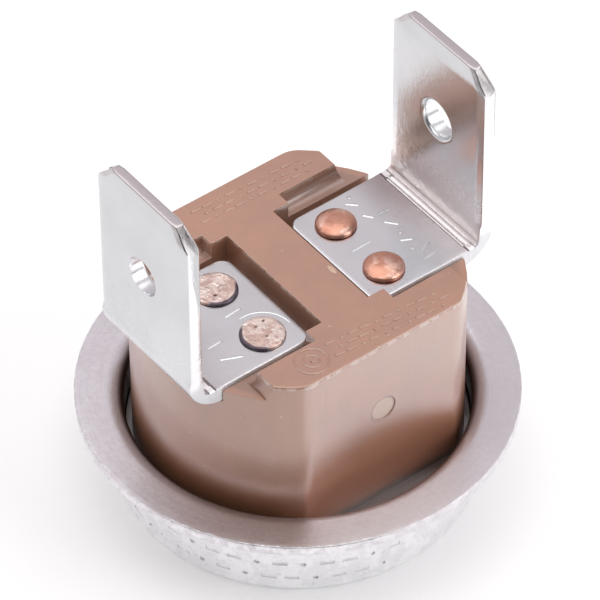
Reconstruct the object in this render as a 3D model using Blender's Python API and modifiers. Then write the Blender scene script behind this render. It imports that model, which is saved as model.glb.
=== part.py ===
"""Boiler thermostat: a snap disc switch in a flanged cup, with two upright tabs.

The origin is the middle of the cup's underside, +Z runs up through the tabs and +X points to the
right-hand tab. The switch is shown cold, with its contacts closed.
"""

import math

import bmesh
import bpy
from mathutils import Matrix, Vector

MM = 0.001

# Gaps left between pieces that touch
SEAT_GAP = 0.03 * MM
FLOOR_GAP = 0.05 * MM
RIVET_CLEARANCE = 0.03 * MM
PIN_CLEARANCE = 0.04 * MM

# Cup, drawn from sheet
CUP_SHEET = 0.5 * MM
CUP_BORE_RADIUS = 7.7 * MM
CUP_WALL_RADIUS = CUP_BORE_RADIUS + CUP_SHEET
CUP_HEIGHT = 4.7 * MM
FLANGE_RADIUS = 9.9 * MM
MOUTH_ROUND = 0.8 * MM
CUP_CORNER = 0.35 * MM
CUP_INNER_CORNER = 0.2 * MM
FLANGE_EDGE = 0.08 * MM
NECK_ROUND = max(MOUTH_ROUND - CUP_SHEET, FLANGE_EDGE)

# Bimetal disc, dished down while it is cold
DISC_THICKNESS = 0.2 * MM
DISC_DISH = 0.45 * MM
DISC_SIDE_CLEARANCE = 0.15 * MM
DISC_LOW = CUP_SHEET + FLOOR_GAP
DISC_CENTRE_TOP = DISC_LOW + DISC_THICKNESS
DISC_RIM_TOP = DISC_CENTRE_TOP + DISC_DISH

# Pin guide, which also keeps the disc in its place
GUIDE_CLEARANCE = 0.1 * MM
GUIDE_RADIUS = CUP_BORE_RADIUS - GUIDE_CLEARANCE
GUIDE_RIM_WIDTH = 1.1 * MM
GUIDE_PLATE = 0.75 * MM
GUIDE_BOSS_RADIUS = 1.6 * MM
GUIDE_BOSS_HEIGHT = 1.2 * MM
GUIDE_CHAMFER = 0.25 * MM
GUIDE_LOW = CUP_SHEET + FLOOR_GAP
GUIDE_PLATE_LOW = DISC_RIM_TOP + FLOOR_GAP
GUIDE_TOP = GUIDE_PLATE_LOW + GUIDE_PLATE
DISC_RADIUS = GUIDE_RADIUS - GUIDE_RIM_WIDTH - DISC_SIDE_CLEARANCE

# Moulded base
BASE_MOUTH_GAP = 0.32 * MM
BASE_RADIUS = CUP_BORE_RADIUS - BASE_MOUTH_GAP
BASE_FLAT = 6.08 * MM
BASE_CORNER = 1.3 * MM
BASE_EDGE = 0.12 * MM
BASE_RIM_CLEARANCE = 0.04 * MM
BASE_RIM_RADIUS = CUP_BORE_RADIUS - BASE_RIM_CLEARANCE
BASE_RIM_HEIGHT = 0.6 * MM
BASE_BOTTOM = GUIDE_TOP + FLOOR_GAP
BASE_HEIGHT = 9.85 * MM
BASE_TOP = BASE_BOTTOM + BASE_HEIGHT
BAR_HALF_WIDTH = 1.25 * MM
SEAT_DEPTH = 1.5 * MM
LEDGE_DEPTH = 0.85 * MM
POCKET_START = 2.1 * MM
POCKET_SHELF = 0.19 * MM
POCKET_FILLET = 0.5 * MM
END_FACE_TOP = 5.2 * MM
END_FACE_SLOPE = 0.25 * MM
WEB_THICKNESS = 1.7 * MM
CHAMBER_HALF_LENGTH = 6.1 * MM
CHAMBER_HALF_WIDTH = 4.5 * MM
CHAMBER_CORNER = 2.5 * MM
MARK_RADIUS = 0.65 * MM
MARK_DEPTH = 0.05 * MM
MARK_DROP = 3.9 * MM
SEAT_FLOOR = BASE_TOP - SEAT_DEPTH
LEDGE = BASE_TOP - LEDGE_DEPTH
ROOF = SEAT_FLOOR - WEB_THICKNESS

# Tabs, each an L of sheet
TAB_WIDTH = 6.3 * MM
TAB_THICKNESS = 0.8 * MM
TAB_OUTER_FACE = 8.25 * MM
TAB_RISE = 9.6 * MM
TAB_INNER_BEND = 0.3 * MM
TAB_OUTER_BEND = 1.8 * MM
TAB_CHAMFER = 0.9 * MM
TAB_HOLE_RADIUS = 0.93 * MM
TAB_HOLE_MOUTH = 0.2 * MM
TAB_HOLE_FROM_TIP = 4.45 * MM
TAB_SHIFT = -0.18 * MM
PLATE_WIDTH = 6.2 * MM
PLATE_END = 1.7 * MM
PLATE_CORNER = 0.6 * MM
PLATE_SIDE_GAP = 0.26 * MM
SHOULDER_INSET = 0.95 * MM
COIN_DEPTH = 0.14 * MM
COIN_SIDE = 0.35 * MM
COIN_TIP = 0.7 * MM
COIN_START = 1.0 * MM
GROOVE_LENGTH = 5.4 * MM
GROOVE_RADIUS = 0.11 * MM
PLATE_TOP = SEAT_FLOOR + SEAT_GAP + TAB_THICKNESS
TAB_TIP = PLATE_TOP + TAB_RISE
TAB_INNER_FACE = TAB_OUTER_FACE - TAB_THICKNESS
SEAT_HALF_WIDTH = PLATE_WIDTH / 2 + PLATE_SIDE_GAP
POCKET_HALF_WIDTH = SEAT_HALF_WIDTH + POCKET_SHELF + POCKET_FILLET

# Rivets, in pairs through each tab
RIVET_X = 3.3 * MM
RIVET_SPREAD = 1.7 * MM
RIVET_SHANK = 0.75 * MM
RIVET_DOME_RADIUS = 0.93 * MM
RIVET_DOME_HEIGHT = 0.38 * MM
RIVET_DOME_COLLAR = 0.08 * MM
RIVET_FLAT_RADIUS = 1.02 * MM
RIVET_FLAT_HEIGHT = 0.15 * MM
RIVET_FOOT_RADIUS = 1.15 * MM
RIVET_FOOT_HEIGHT = 0.42 * MM

# Strips inside the chamber, each clamped under the roof
STRIP_THICKNESS = 0.35 * MM
STRIP_WIDTH = 5.2 * MM
STRIP_BEND = 0.3 * MM
STRIP_END = 2.15 * MM
STRIP_DROP_X = 5.2 * MM
STRIP_TOP = ROOF - SEAT_GAP
STRIP_UNDERSIDE = STRIP_TOP - STRIP_THICKNESS

# Contact arm, its hinge line at the weld on the bracket's foot
ARM_RISE = 3.2 * MM
ARM_THICKNESS = 0.25 * MM
ARM_HINGE_X = -2.4 * MM
ARM_TAIL = 0.8 * MM
ARM_ROOT_HALF_WIDTH = 1.6 * MM
ARM_LIFT = 0.2 * MM
WELD_RIB = 0.15 * MM
ARM_UNDERSIDE = GUIDE_TOP + ARM_RISE
BRACKET_FOOT_TOP = ARM_UNDERSIDE - ARM_LIFT
BRACKET_FOOT_END = 2.15 * MM

# Contacts
CONTACT_X = 2.5 * MM
CONTACT_RADIUS = 0.85 * MM
CONTACT_THICKNESS = 0.5 * MM
CONTACT_CROWN = 0.08 * MM
CONTACT_MARGIN = 0.3 * MM
FIXED_CONTACT_TOP = ARM_UNDERSIDE - SEAT_GAP - CONTACT_THICKNESS - SEAT_GAP
FIXED_FOOT_TOP = FIXED_CONTACT_TOP - CONTACT_THICKNESS - SEAT_GAP
FIXED_FOOT_END = CONTACT_X - CONTACT_RADIUS

# Transfer pin between the disc and the arm
PIN_RADIUS = 0.8 * MM
PIN_LOW = DISC_CENTRE_TOP + SEAT_GAP
PIN_TOP = ARM_UNDERSIDE - SEAT_GAP

# Facets
CUP_STEPS = 72
ROUND_STEPS = 32
SMALL_STEPS = 20
THIN_STEPS = 12
BASE_ARC_STEPS = 9
CORNER_STEPS = 4
BEND_STEPS = 6
DISC_STEPS = 5
MERGE = 1e-7
FLAT_ANGLE = math.radians(0.5)

# How far a cutter runs past what it cuts
OVERRUN = 1.0 * MM
COLLECTION = "boiler_thermostat"

PLANES = {
    "XY": Matrix.Identity(4),
    "XZ": Matrix.Rotation(math.radians(90), 4, "X"),
    "YZ": Matrix(((0, 0, 1, 0), (1, 0, 0, 0), (0, 1, 0, 0), (0, 0, 0, 1))),
}
ACROSS = {"XY": Vector((0, 0, 1)), "XZ": Vector((0, 1, 0)), "YZ": Vector((1, 0, 0))}


def remove_objects():
    """Empty the scene."""
    for old in list(bpy.data.objects):
        bpy.data.objects.remove(old, do_unlink=True)


def new_collection(name):
    """A collection in the scene."""
    collection = bpy.data.collections.new(name)
    bpy.context.scene.collection.children.link(collection)
    return collection


def material(name, colour, roughness, metallic):
    """A plain Principled material."""
    made = bpy.data.materials.new(name)
    made.use_nodes = True
    shader = made.node_tree.nodes["Principled BSDF"]
    shader.inputs["Base Color"].default_value = (*colour, 1)
    shader.inputs["Roughness"].default_value = roughness
    shader.inputs["Metallic"].default_value = metallic
    return made


def keep(piece, collection, finish):
    """Put a finished piece in the object's collection, with its material."""
    for holder in list(piece.users_collection):
        holder.objects.unlink(piece)
    collection.objects.link(piece)
    piece.data.materials.clear()
    piece.data.materials.append(finish)
    piece.data.shade_smooth()
    piece.data.set_sharp_from_angle(angle=math.radians(30))
    return piece


def reshape(piece, tool, operation, cutters):
    """Cut, join or trim a piece with a hidden tool."""
    for holder in list(tool.users_collection):
        holder.objects.unlink(tool)
    cutters.objects.link(tool)
    tool.hide_render = True
    tool.display_type = "WIRE"
    modifier = piece.modifiers.new(tool.name, "BOOLEAN")
    modifier.object = tool
    modifier.operation = operation
    modifier.solver = "EXACT"


def arc(centre, radius, start, end, steps):
    """Points along an arc, with both ends; the angles are in degrees."""
    points = []
    for i in range(steps + 1):
        angle = math.radians(start + (end - start) * i / steps)
        points.append((centre[0] + radius * math.cos(angle), centre[1] + radius * math.sin(angle)))
    return points


def turned(name, profile, steps, closed=False):
    """A profile in the XZ plane turned round Z; it runs down its outer side."""
    edges = [(i, i + 1) for i in range(len(profile) - 1)]
    if closed:
        edges.append((len(profile) - 1, 0))
    mesh = bpy.data.meshes.new(name)
    mesh.from_pydata([(x, 0, z) for x, z in profile], edges, [])
    piece = bpy.data.objects.new(name, mesh)
    screw = piece.modifiers.new("Turn", "SCREW")
    screw.steps = steps
    screw.render_steps = steps
    screw.use_merge_vertices = True
    screw.merge_threshold = MERGE
    bpy.context.scene.collection.objects.link(piece)
    return piece


def extruded(name, outline, low, high, plane="XY"):
    """A flat outline in one of the main planes, thickened from low to high across it."""
    curve = bpy.data.curves.new(name, "CURVE")
    curve.dimensions = "2D"
    curve.fill_mode = "BOTH"
    curve.extrude = (high - low) / 2
    spline = curve.splines.new("POLY")
    spline.points.add(len(outline) - 1)
    for point, (u, v) in zip(spline.points, outline):
        point.co = (u, v, 0, 1)
    spline.use_cyclic_u = True
    sketch = bpy.data.objects.new(name + "_outline", curve)
    bpy.context.scene.collection.objects.link(sketch)
    depsgraph = bpy.context.evaluated_depsgraph_get()
    mesh = bpy.data.meshes.new_from_object(sketch.evaluated_get(depsgraph))
    bpy.data.objects.remove(sketch)

    middle = Matrix.Translation(ACROSS[plane] * (low + high) / 2)
    body = bmesh.new()
    body.from_mesh(mesh)
    bmesh.ops.remove_doubles(body, verts=body.verts, dist=MERGE)
    bmesh.ops.dissolve_limit(body, angle_limit=FLAT_ANGLE, verts=body.verts, edges=body.edges)
    bmesh.ops.recalc_face_normals(body, faces=body.faces)
    bmesh.ops.transform(body, matrix=middle @ PLANES[plane], verts=body.verts)
    body.to_mesh(mesh)
    body.free()
    piece = bpy.data.objects.new(name, mesh)
    bpy.context.scene.collection.objects.link(piece)
    return piece


def cylinder(name, radius, length, centre, steps, turn=(0, 0, 0)):
    """A round bar about its centre, along Z unless turned."""
    bpy.ops.mesh.primitive_cylinder_add(
        vertices=steps, radius=radius, depth=length, location=centre, rotation=turn)
    piece = bpy.context.object
    piece.name = name
    return piece


def block(name, low, high):
    """A box between two corners."""
    size = Vector(high) - Vector(low)
    bpy.ops.mesh.primitive_cube_add(size=1)
    piece = bpy.context.object
    piece.name = name
    piece.data.transform(Matrix.Translation((Vector(low) + Vector(high)) / 2) @ Matrix.Diagonal((*size, 1)))
    return piece


def mirrored(piece, axis):
    """Repeat a piece on the other side of the middle, across X, Y or both."""
    mirror = piece.modifiers.new("Mirror", "MIRROR")
    mirror.use_axis = axis
    mirror.use_mirror_merge = False
    mirror.merge_threshold = MERGE
    return piece


def sheet_outline(path, thickness, inner_radius):
    """Side view of a sheet bent along a path, which runs down its middle."""
    points = [Vector(p) for p in path]
    runs = [(b - a).normalized() for a, b in zip(points, points[1:])]
    half = thickness / 2
    left = [points[0] + half * Vector((-runs[0].y, runs[0].x))]
    right = [points[0] - half * Vector((-runs[0].y, runs[0].x))]
    radius = inner_radius + half
    for corner, before, after in zip(points[1:], runs, runs[1:]):
        turn = math.atan2(before.cross(after), before.dot(after))
        side = math.copysign(1, turn)
        normal = Vector((-before.y, before.x)) * side
        centre = corner - before * radius * math.tan(abs(turn) / 2) + normal * radius
        start = math.atan2(-normal.y, -normal.x)
        for i in range(BEND_STEPS + 1):
            angle = start + turn * i / BEND_STEPS
            outward = Vector((math.cos(angle), math.sin(angle)))
            left.append(centre + outward * (radius - side * half))
            right.append(centre + outward * (radius + side * half))
    left.append(points[-1] + half * Vector((-runs[-1].y, runs[-1].x)))
    right.append(points[-1] - half * Vector((-runs[-1].y, runs[-1].x)))
    return [tuple(p) for p in left + right[::-1]]


def flatted_circle(radius, flat, corner):
    """A circle with two flats across Y and a rounded corner at each end of them."""
    corner_x = math.sqrt((radius - corner) ** 2 - (flat - corner) ** 2)
    turn = math.degrees(math.atan2(flat - corner, corner_x))
    quarter = arc((0, 0), radius, 0, turn, BASE_ARC_STEPS)
    quarter += arc((corner_x, flat - corner), corner, turn, 90, CORNER_STEPS)[1:]
    half = [(x, -y) for x, y in reversed(quarter)] + quarter[1:]
    return half + [(-x, -y) for x, y in half]


def rounded_rectangle(half_x, half_y, corner):
    """A rectangle round the origin with rounded corners."""
    outline = []
    for k, (sx, sy) in enumerate(((1, 1), (-1, 1), (-1, -1), (1, -1))):
        centre = (sx * (half_x - corner), sy * (half_y - corner))
        outline += arc(centre, corner, 90 * k, 90 * k + 90, 2 * CORNER_STEPS)
    return outline


def sensing_cup():
    """Drawn cup with a flat flange round its mouth."""
    underside = CUP_HEIGHT - CUP_SHEET
    inner = CUP_BORE_RADIUS - CUP_INNER_CORNER
    profile = [(0, CUP_SHEET)]
    profile += arc((inner, CUP_SHEET + CUP_INNER_CORNER), CUP_INNER_CORNER, -90, 0, CORNER_STEPS)
    mouth_centre = (CUP_BORE_RADIUS + MOUTH_ROUND, CUP_HEIGHT - MOUTH_ROUND)
    profile += arc(mouth_centre, MOUTH_ROUND, 180, 90, BEND_STEPS)
    edge = FLANGE_RADIUS - FLANGE_EDGE
    profile += arc((edge, CUP_HEIGHT - FLANGE_EDGE), FLANGE_EDGE, 90, 0, 2)
    profile += arc((edge, underside + FLANGE_EDGE), FLANGE_EDGE, 0, -90, 2)
    neck_centre = (CUP_WALL_RADIUS + NECK_ROUND, underside - NECK_ROUND)
    profile += arc(neck_centre, NECK_ROUND, 90, 180, CORNER_STEPS)
    profile += arc((CUP_WALL_RADIUS - CUP_CORNER, CUP_CORNER), CUP_CORNER, 0, -90, CORNER_STEPS)
    profile.append((0, 0))
    return turned("sensing_cup", profile, CUP_STEPS)


def bimetal_disc():
    """Thin disc, dished like a saucer, that snaps over when it is hot."""
    upper = []
    for i in range(DISC_STEPS + 1):
        share = i / DISC_STEPS
        upper.append((DISC_RADIUS * share, DISC_CENTRE_TOP + DISC_DISH * share ** 2))
    lower = [(r, z - DISC_THICKNESS) for r, z in reversed(upper)]
    return turned("bimetal_disc", upper + lower, ROUND_STEPS)


def pin_guide():
    """Plate over the disc with a rim that stands on the cup's floor and a boss for the pin."""
    hole = PIN_RADIUS + PIN_CLEARANCE
    rim = GUIDE_RADIUS - GUIDE_RIM_WIDTH
    boss_top = GUIDE_TOP + GUIDE_BOSS_HEIGHT
    profile = [
        (hole, boss_top),
        (GUIDE_BOSS_RADIUS, boss_top),
        (GUIDE_BOSS_RADIUS, GUIDE_TOP),
        (GUIDE_RADIUS, GUIDE_TOP),
        (GUIDE_RADIUS, GUIDE_LOW + GUIDE_CHAMFER),
        (GUIDE_RADIUS - GUIDE_CHAMFER, GUIDE_LOW),
        (rim, GUIDE_LOW),
        (rim, GUIDE_PLATE_LOW),
        (hole, GUIDE_PLATE_LOW),
    ]
    return turned("pin_guide", profile, ROUND_STEPS, closed=True)


def transfer_pin():
    """Pin with a round head at each end."""
    profile = arc((0, PIN_TOP - PIN_RADIUS), PIN_RADIUS, 90, 0, CORNER_STEPS)
    profile += arc((0, PIN_LOW + PIN_RADIUS), PIN_RADIUS, 0, -90, CORNER_STEPS)
    return turned("transfer_pin", profile, SMALL_STEPS)


def switch_base(cutters):
    """Moulded body with two flats, a bar between two stepped pockets and an open chamber below."""
    outline = flatted_circle(BASE_RADIUS, BASE_FLAT, BASE_CORNER)
    body = extruded("switch_base", outline, BASE_BOTTOM + BASE_RIM_HEIGHT / 2, BASE_TOP)
    edge = body.modifiers.new("Edge", "BEVEL")
    edge.width = BASE_EDGE
    edge.segments = 2
    edge.limit_method = "ANGLE"
    edge.angle_limit = math.radians(60)

    rim_middle = (0, 0, BASE_BOTTOM + BASE_RIM_HEIGHT / 2)
    rim = cylinder("base_rim", BASE_RIM_RADIUS, BASE_RIM_HEIGHT, rim_middle, CUP_STEPS)
    reshape(body, rim, "UNION", cutters)

    above = BASE_TOP + OVERRUN
    beyond = BASE_RADIUS + OVERRUN
    seat_low = (BAR_HALF_WIDTH, -SEAT_HALF_WIDTH, SEAT_FLOOR)
    seat = block("seat_cutter", seat_low, (beyond, SEAT_HALF_WIDTH, above))
    reshape(body, mirrored(seat, (True, False, False)), "DIFFERENCE", cutters)

    fillet_centre = (POCKET_HALF_WIDTH - POCKET_FILLET, LEDGE + POCKET_FILLET)
    side = [(POCKET_HALF_WIDTH, above)]
    side += arc(fillet_centre, POCKET_FILLET, 0, -90, CORNER_STEPS)
    pocket_outline = side + [(-y, z) for y, z in reversed(side)]
    pocket = extruded("pocket_cutter", pocket_outline, POCKET_START, beyond, "YZ")
    reshape(body, mirrored(pocket, (True, False, False)), "DIFFERENCE", cutters)

    foot = END_FACE_TOP + END_FACE_SLOPE
    rise = (above - LEDGE) / LEDGE_DEPTH
    end_outline = [(foot, LEDGE), (beyond, LEDGE), (beyond, above), (foot - END_FACE_SLOPE * rise, above)]
    end = extruded("end_cutter", end_outline, -beyond, beyond, "XZ")
    reshape(body, mirrored(end, (True, False, False)), "DIFFERENCE", cutters)

    chamber_outline = rounded_rectangle(CHAMBER_HALF_LENGTH, CHAMBER_HALF_WIDTH, CHAMBER_CORNER)
    chamber = extruded("chamber_cutter", chamber_outline, BASE_BOTTOM - OVERRUN, ROOF)
    reshape(body, chamber, "DIFFERENCE", cutters)

    mark_middle = (0, -BASE_FLAT, BASE_TOP - MARK_DROP)
    mark = cylinder(
        "mark_cutter", MARK_RADIUS, 2 * MARK_DEPTH, mark_middle, SMALL_STEPS, (math.pi / 2, 0, 0))
    reshape(body, mark, "DIFFERENCE", cutters)
    drill_for_rivets(body, (-1, 1), ROOF - OVERRUN, SEAT_FLOOR + OVERRUN, cutters)
    return body


def drill_for_rivets(piece, sides, low, high, cutters):
    """Cut the rivets' clearance holes through a piece, on one side or both."""
    for side in sides:
        for row in (-1, 1):
            name = f"{piece.name}_drill_{len(piece.modifiers)}"
            middle = (side * RIVET_X, TAB_SHIFT + row * RIVET_SPREAD, (low + high) / 2)
            drill = cylinder(name, RIVET_SHANK + RIVET_CLEARANCE, high - low, middle, SMALL_STEPS)
            reshape(piece, drill, "DIFFERENCE", cutters)


def tab_coining(name):
    """Wedges that press the blade's four long edges thin, in the right-hand tab's place."""
    near = TAB_WIDTH / 2
    outer = [
        (TAB_OUTER_FACE - COIN_DEPTH, near),
        (TAB_OUTER_FACE, near - COIN_SIDE),
        (TAB_OUTER_FACE + COIN_DEPTH, near - COIN_SIDE),
        (TAB_OUTER_FACE + COIN_DEPTH, near + COIN_SIDE),
        (TAB_OUTER_FACE - COIN_DEPTH, near + COIN_SIDE),
    ]
    middle = (TAB_OUTER_FACE + TAB_INNER_FACE) / 2
    low = PLATE_TOP + COIN_START
    wedge = extruded(name, outer, low, TAB_TIP + OVERRUN)
    wedge.data.transform(Matrix.Translation((-middle, 0, 0)))
    mirrored(wedge, (True, True, False))
    wedge.location = (middle, 0, 0)
    return wedge


def tab_tip_outline():
    """Side view of what is pressed off the blade's outer face at the tip."""
    return [
        (TAB_OUTER_FACE, TAB_TIP - COIN_TIP),
        (TAB_OUTER_FACE + COIN_DEPTH, TAB_TIP - COIN_TIP),
        (TAB_OUTER_FACE + COIN_DEPTH, TAB_TIP + COIN_TIP),
        (TAB_OUTER_FACE - 2 * COIN_DEPTH, TAB_TIP + COIN_TIP),
    ]


def tab_side_outline():
    """Side view of the right-hand tab, pressed thin round the bend."""
    underside = PLATE_TOP - TAB_THICKNESS
    outer_centre = (TAB_OUTER_FACE - TAB_OUTER_BEND, underside + TAB_OUTER_BEND)
    inner_centre = (TAB_INNER_FACE - TAB_INNER_BEND, PLATE_TOP + TAB_INNER_BEND)
    outline = [(PLATE_END, underside)]
    outline += arc(outer_centre, TAB_OUTER_BEND, -90, 0, 2 * BEND_STEPS)
    outline += [(TAB_OUTER_FACE, TAB_TIP), (TAB_INNER_FACE, TAB_TIP)]
    outline += arc(inner_centre, TAB_INNER_BEND, 0, -90, BEND_STEPS)
    return outline + [(PLATE_END, PLATE_TOP)]


def plan_outline():
    """Top view of a tab: rounded inner corners and a small shoulder before the bend."""
    half = [
        (TAB_OUTER_FACE + OVERRUN, TAB_WIDTH / 2),
        (TAB_INNER_FACE - SHOULDER_INSET + (TAB_WIDTH - PLATE_WIDTH), TAB_WIDTH / 2),
        (TAB_INNER_FACE - SHOULDER_INSET, PLATE_WIDTH / 2),
    ]
    corner_centre = (PLATE_END + PLATE_CORNER, PLATE_WIDTH / 2 - PLATE_CORNER)
    half += arc(corner_centre, PLATE_CORNER, 90, 180, CORNER_STEPS)
    return half + [(x, -y) for x, y in reversed(half)]


def place_tab_tool(tool, side):
    """Move a tool from the right-hand tab's middle line to its own tab."""
    turn = Matrix.Rotation(0 if side > 0 else math.pi, 4, "Z")
    tool.matrix_world = Matrix.Translation((0, TAB_SHIFT, 0)) @ turn @ tool.matrix_world
    return tool


def tab(name, side, cutters):
    """One tab: a plate in its seat, a bend and an upright blade with a hole."""
    piece = extruded(name, tab_side_outline(), -TAB_WIDTH / 2, TAB_WIDTH / 2, "XZ")
    place_tab_tool(piece, side)

    plan = extruded(name + "_plan", plan_outline(), SEAT_FLOOR - OVERRUN, TAB_TIP + OVERRUN)
    reshape(piece, place_tab_tool(plan, side), "INTERSECT", cutters)

    beyond = TAB_WIDTH / 2 + OVERRUN
    corner_outline = [
        (TAB_WIDTH / 2 - TAB_CHAMFER, TAB_TIP + OVERRUN),
        (TAB_WIDTH / 2 - TAB_CHAMFER, TAB_TIP),
        (TAB_WIDTH / 2, TAB_TIP - TAB_CHAMFER),
        (beyond, TAB_TIP - TAB_CHAMFER),
        (beyond, TAB_TIP + OVERRUN),
    ]
    corners = extruded(name + "_corners", corner_outline, PLATE_END, TAB_OUTER_FACE + OVERRUN, "YZ")
    mirrored(corners, (False, True, False))
    reshape(piece, place_tab_tool(corners, side), "DIFFERENCE", cutters)

    coining = tab_coining(name + "_coining")
    reshape(piece, place_tab_tool(coining, side), "DIFFERENCE", cutters)

    blade_middle = TAB_OUTER_FACE - TAB_THICKNESS / 2
    tip = extruded(name + "_tip", tab_tip_outline(), -beyond, beyond, "XZ")
    tip.data.transform(Matrix.Translation((-blade_middle, 0, 0)))
    mirrored(tip, (True, False, False))
    tip.location = (blade_middle, 0, 0)
    reshape(piece, place_tab_tool(tip, side), "DIFFERENCE", cutters)

    hole_z = TAB_TIP - TAB_HOLE_FROM_TIP
    hole_profile = [
        (0, TAB_THICKNESS + OVERRUN),
        (TAB_HOLE_RADIUS, TAB_THICKNESS + OVERRUN),
        (TAB_HOLE_RADIUS, TAB_HOLE_MOUTH),
        (TAB_HOLE_RADIUS + TAB_HOLE_MOUTH, 0),
        (TAB_HOLE_RADIUS + TAB_HOLE_MOUTH, -OVERRUN),
        (0, -OVERRUN),
    ]
    hole = turned(name + "_hole", hole_profile, SMALL_STEPS)
    hole.matrix_world = Matrix.Translation((TAB_INNER_FACE, 0, hole_z)) @ Matrix.Rotation(math.pi / 2, 4, "Y")
    reshape(piece, place_tab_tool(hole, side), "DIFFERENCE", cutters)

    groove_centre = (TAB_INNER_FACE - TAB_INNER_BEND, 0, PLATE_TOP)
    groove = cylinder(
        name + "_groove", GROOVE_RADIUS, GROOVE_LENGTH, groove_centre, THIN_STEPS, (math.pi / 2, 0, 0))
    bpy.context.view_layer.update()
    reshape(piece, place_tab_tool(groove, side), "DIFFERENCE", cutters)
    drill_for_rivets(piece, (side,), SEAT_FLOOR - OVERRUN, PLATE_TOP + OVERRUN, cutters)
    return piece


def rivet(name, side, row, head):
    """A rivet from its head on the tab down to its foot under the strip."""
    foot_top = STRIP_UNDERSIDE - SEAT_GAP
    profile = head + [
        (RIVET_SHANK, PLATE_TOP + SEAT_GAP),
        (RIVET_SHANK, foot_top),
        (RIVET_FOOT_RADIUS, foot_top),
        (RIVET_FOOT_RADIUS, foot_top - RIVET_FOOT_HEIGHT / 2),
        (RIVET_SHANK, foot_top - RIVET_FOOT_HEIGHT),
        (0, foot_top - RIVET_FOOT_HEIGHT),
    ]
    piece = turned(name, profile, SMALL_STEPS)
    piece.location = (side * RIVET_X, TAB_SHIFT + row * RIVET_SPREAD, 0)
    return piece


def domed_head():
    """Low round head with a thin collar, from its top to its underside."""
    seat = PLATE_TOP + SEAT_GAP
    collar = seat + RIVET_DOME_COLLAR
    dome = [(RIVET_DOME_RADIUS * math.sin(math.radians(t)),
             collar + (RIVET_DOME_HEIGHT - RIVET_DOME_COLLAR) * math.cos(math.radians(t)))
            for t in range(0, 91, 15)]
    return dome + [(RIVET_DOME_RADIUS, seat)]


def staked_head():
    """Flat head, spread by staking, from its top to its underside."""
    seat = PLATE_TOP + SEAT_GAP
    half = RIVET_FLAT_HEIGHT / 2
    return [(0, seat + RIVET_FLAT_HEIGHT)] + [
        (RIVET_FLAT_RADIUS - half, seat + RIVET_FLAT_HEIGHT),
        (RIVET_FLAT_RADIUS, seat + half),
        (RIVET_FLAT_RADIUS - half / 2, seat),
    ]


def clamped_strip(name, side, foot_top, foot_end, cutters):
    """A strip folded like a C: clamped under the roof, down the chamber's end and in again."""
    top = STRIP_TOP - STRIP_THICKNESS / 2
    foot = foot_top - STRIP_THICKNESS / 2
    path = [(side * x, z) for x, z in (
        (STRIP_END, top), (STRIP_DROP_X, top), (STRIP_DROP_X, foot), (foot_end, foot))]
    low = TAB_SHIFT - STRIP_WIDTH / 2
    piece = extruded(name, sheet_outline(path, STRIP_THICKNESS, STRIP_BEND), low, low + STRIP_WIDTH, "XZ")
    drill_for_rivets(piece, (side,), STRIP_UNDERSIDE - STRIP_THICKNESS, ROOF + OVERRUN, cutters)
    return piece


def arm_bracket(cutters):
    """The left-hand strip, with the weld rib that the arm stands on."""
    piece = clamped_strip("arm_bracket", -1, BRACKET_FOOT_TOP, BRACKET_FOOT_END, cutters)
    rib_centre = (ARM_HINGE_X, 0, BRACKET_FOOT_TOP)
    rib = cylinder(
        "weld_rib", WELD_RIB, 2 * ARM_ROOT_HALF_WIDTH, rib_centre, THIN_STEPS, (math.pi / 2, 0, 0))
    reshape(piece, rib, "UNION", cutters)
    return piece


def contact_arm():
    """Springy blade, wide at its weld and round at the contact."""
    reach = CONTACT_X - ARM_HINGE_X
    tip = CONTACT_RADIUS + CONTACT_MARGIN
    taper = math.degrees(math.asin((ARM_ROOT_HALF_WIDTH - tip) / (reach + ARM_TAIL)))
    outline = arc((reach, 0), tip, taper - 90, 90 - taper, 2 * BEND_STEPS)
    outline += [(-ARM_TAIL, ARM_ROOT_HALF_WIDTH), (-ARM_TAIL, -ARM_ROOT_HALF_WIDTH)]
    return extruded("contact_arm", outline, 0, ARM_THICKNESS)


def contact(name):
    """Contact button with a slightly crowned face, its flat back at z = 0 and the crown below."""
    rim = CONTACT_CROWN - CONTACT_THICKNESS
    profile = [(0, 0), (CONTACT_RADIUS, 0)]
    profile += [(CONTACT_RADIUS * share, rim - CONTACT_CROWN * (1 - share ** 2)) for share in (1, 0.5, 0)]
    return turned(name, profile, SMALL_STEPS)


def hinge_point():
    """Empty on the arm's hinge line."""
    hinge = bpy.data.objects.new("arm_hinge", None)
    hinge.location = (ARM_HINGE_X, 0, ARM_UNDERSIDE)
    hinge.empty_display_size = ARM_TAIL
    bpy.context.scene.collection.objects.link(hinge)
    return hinge


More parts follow.
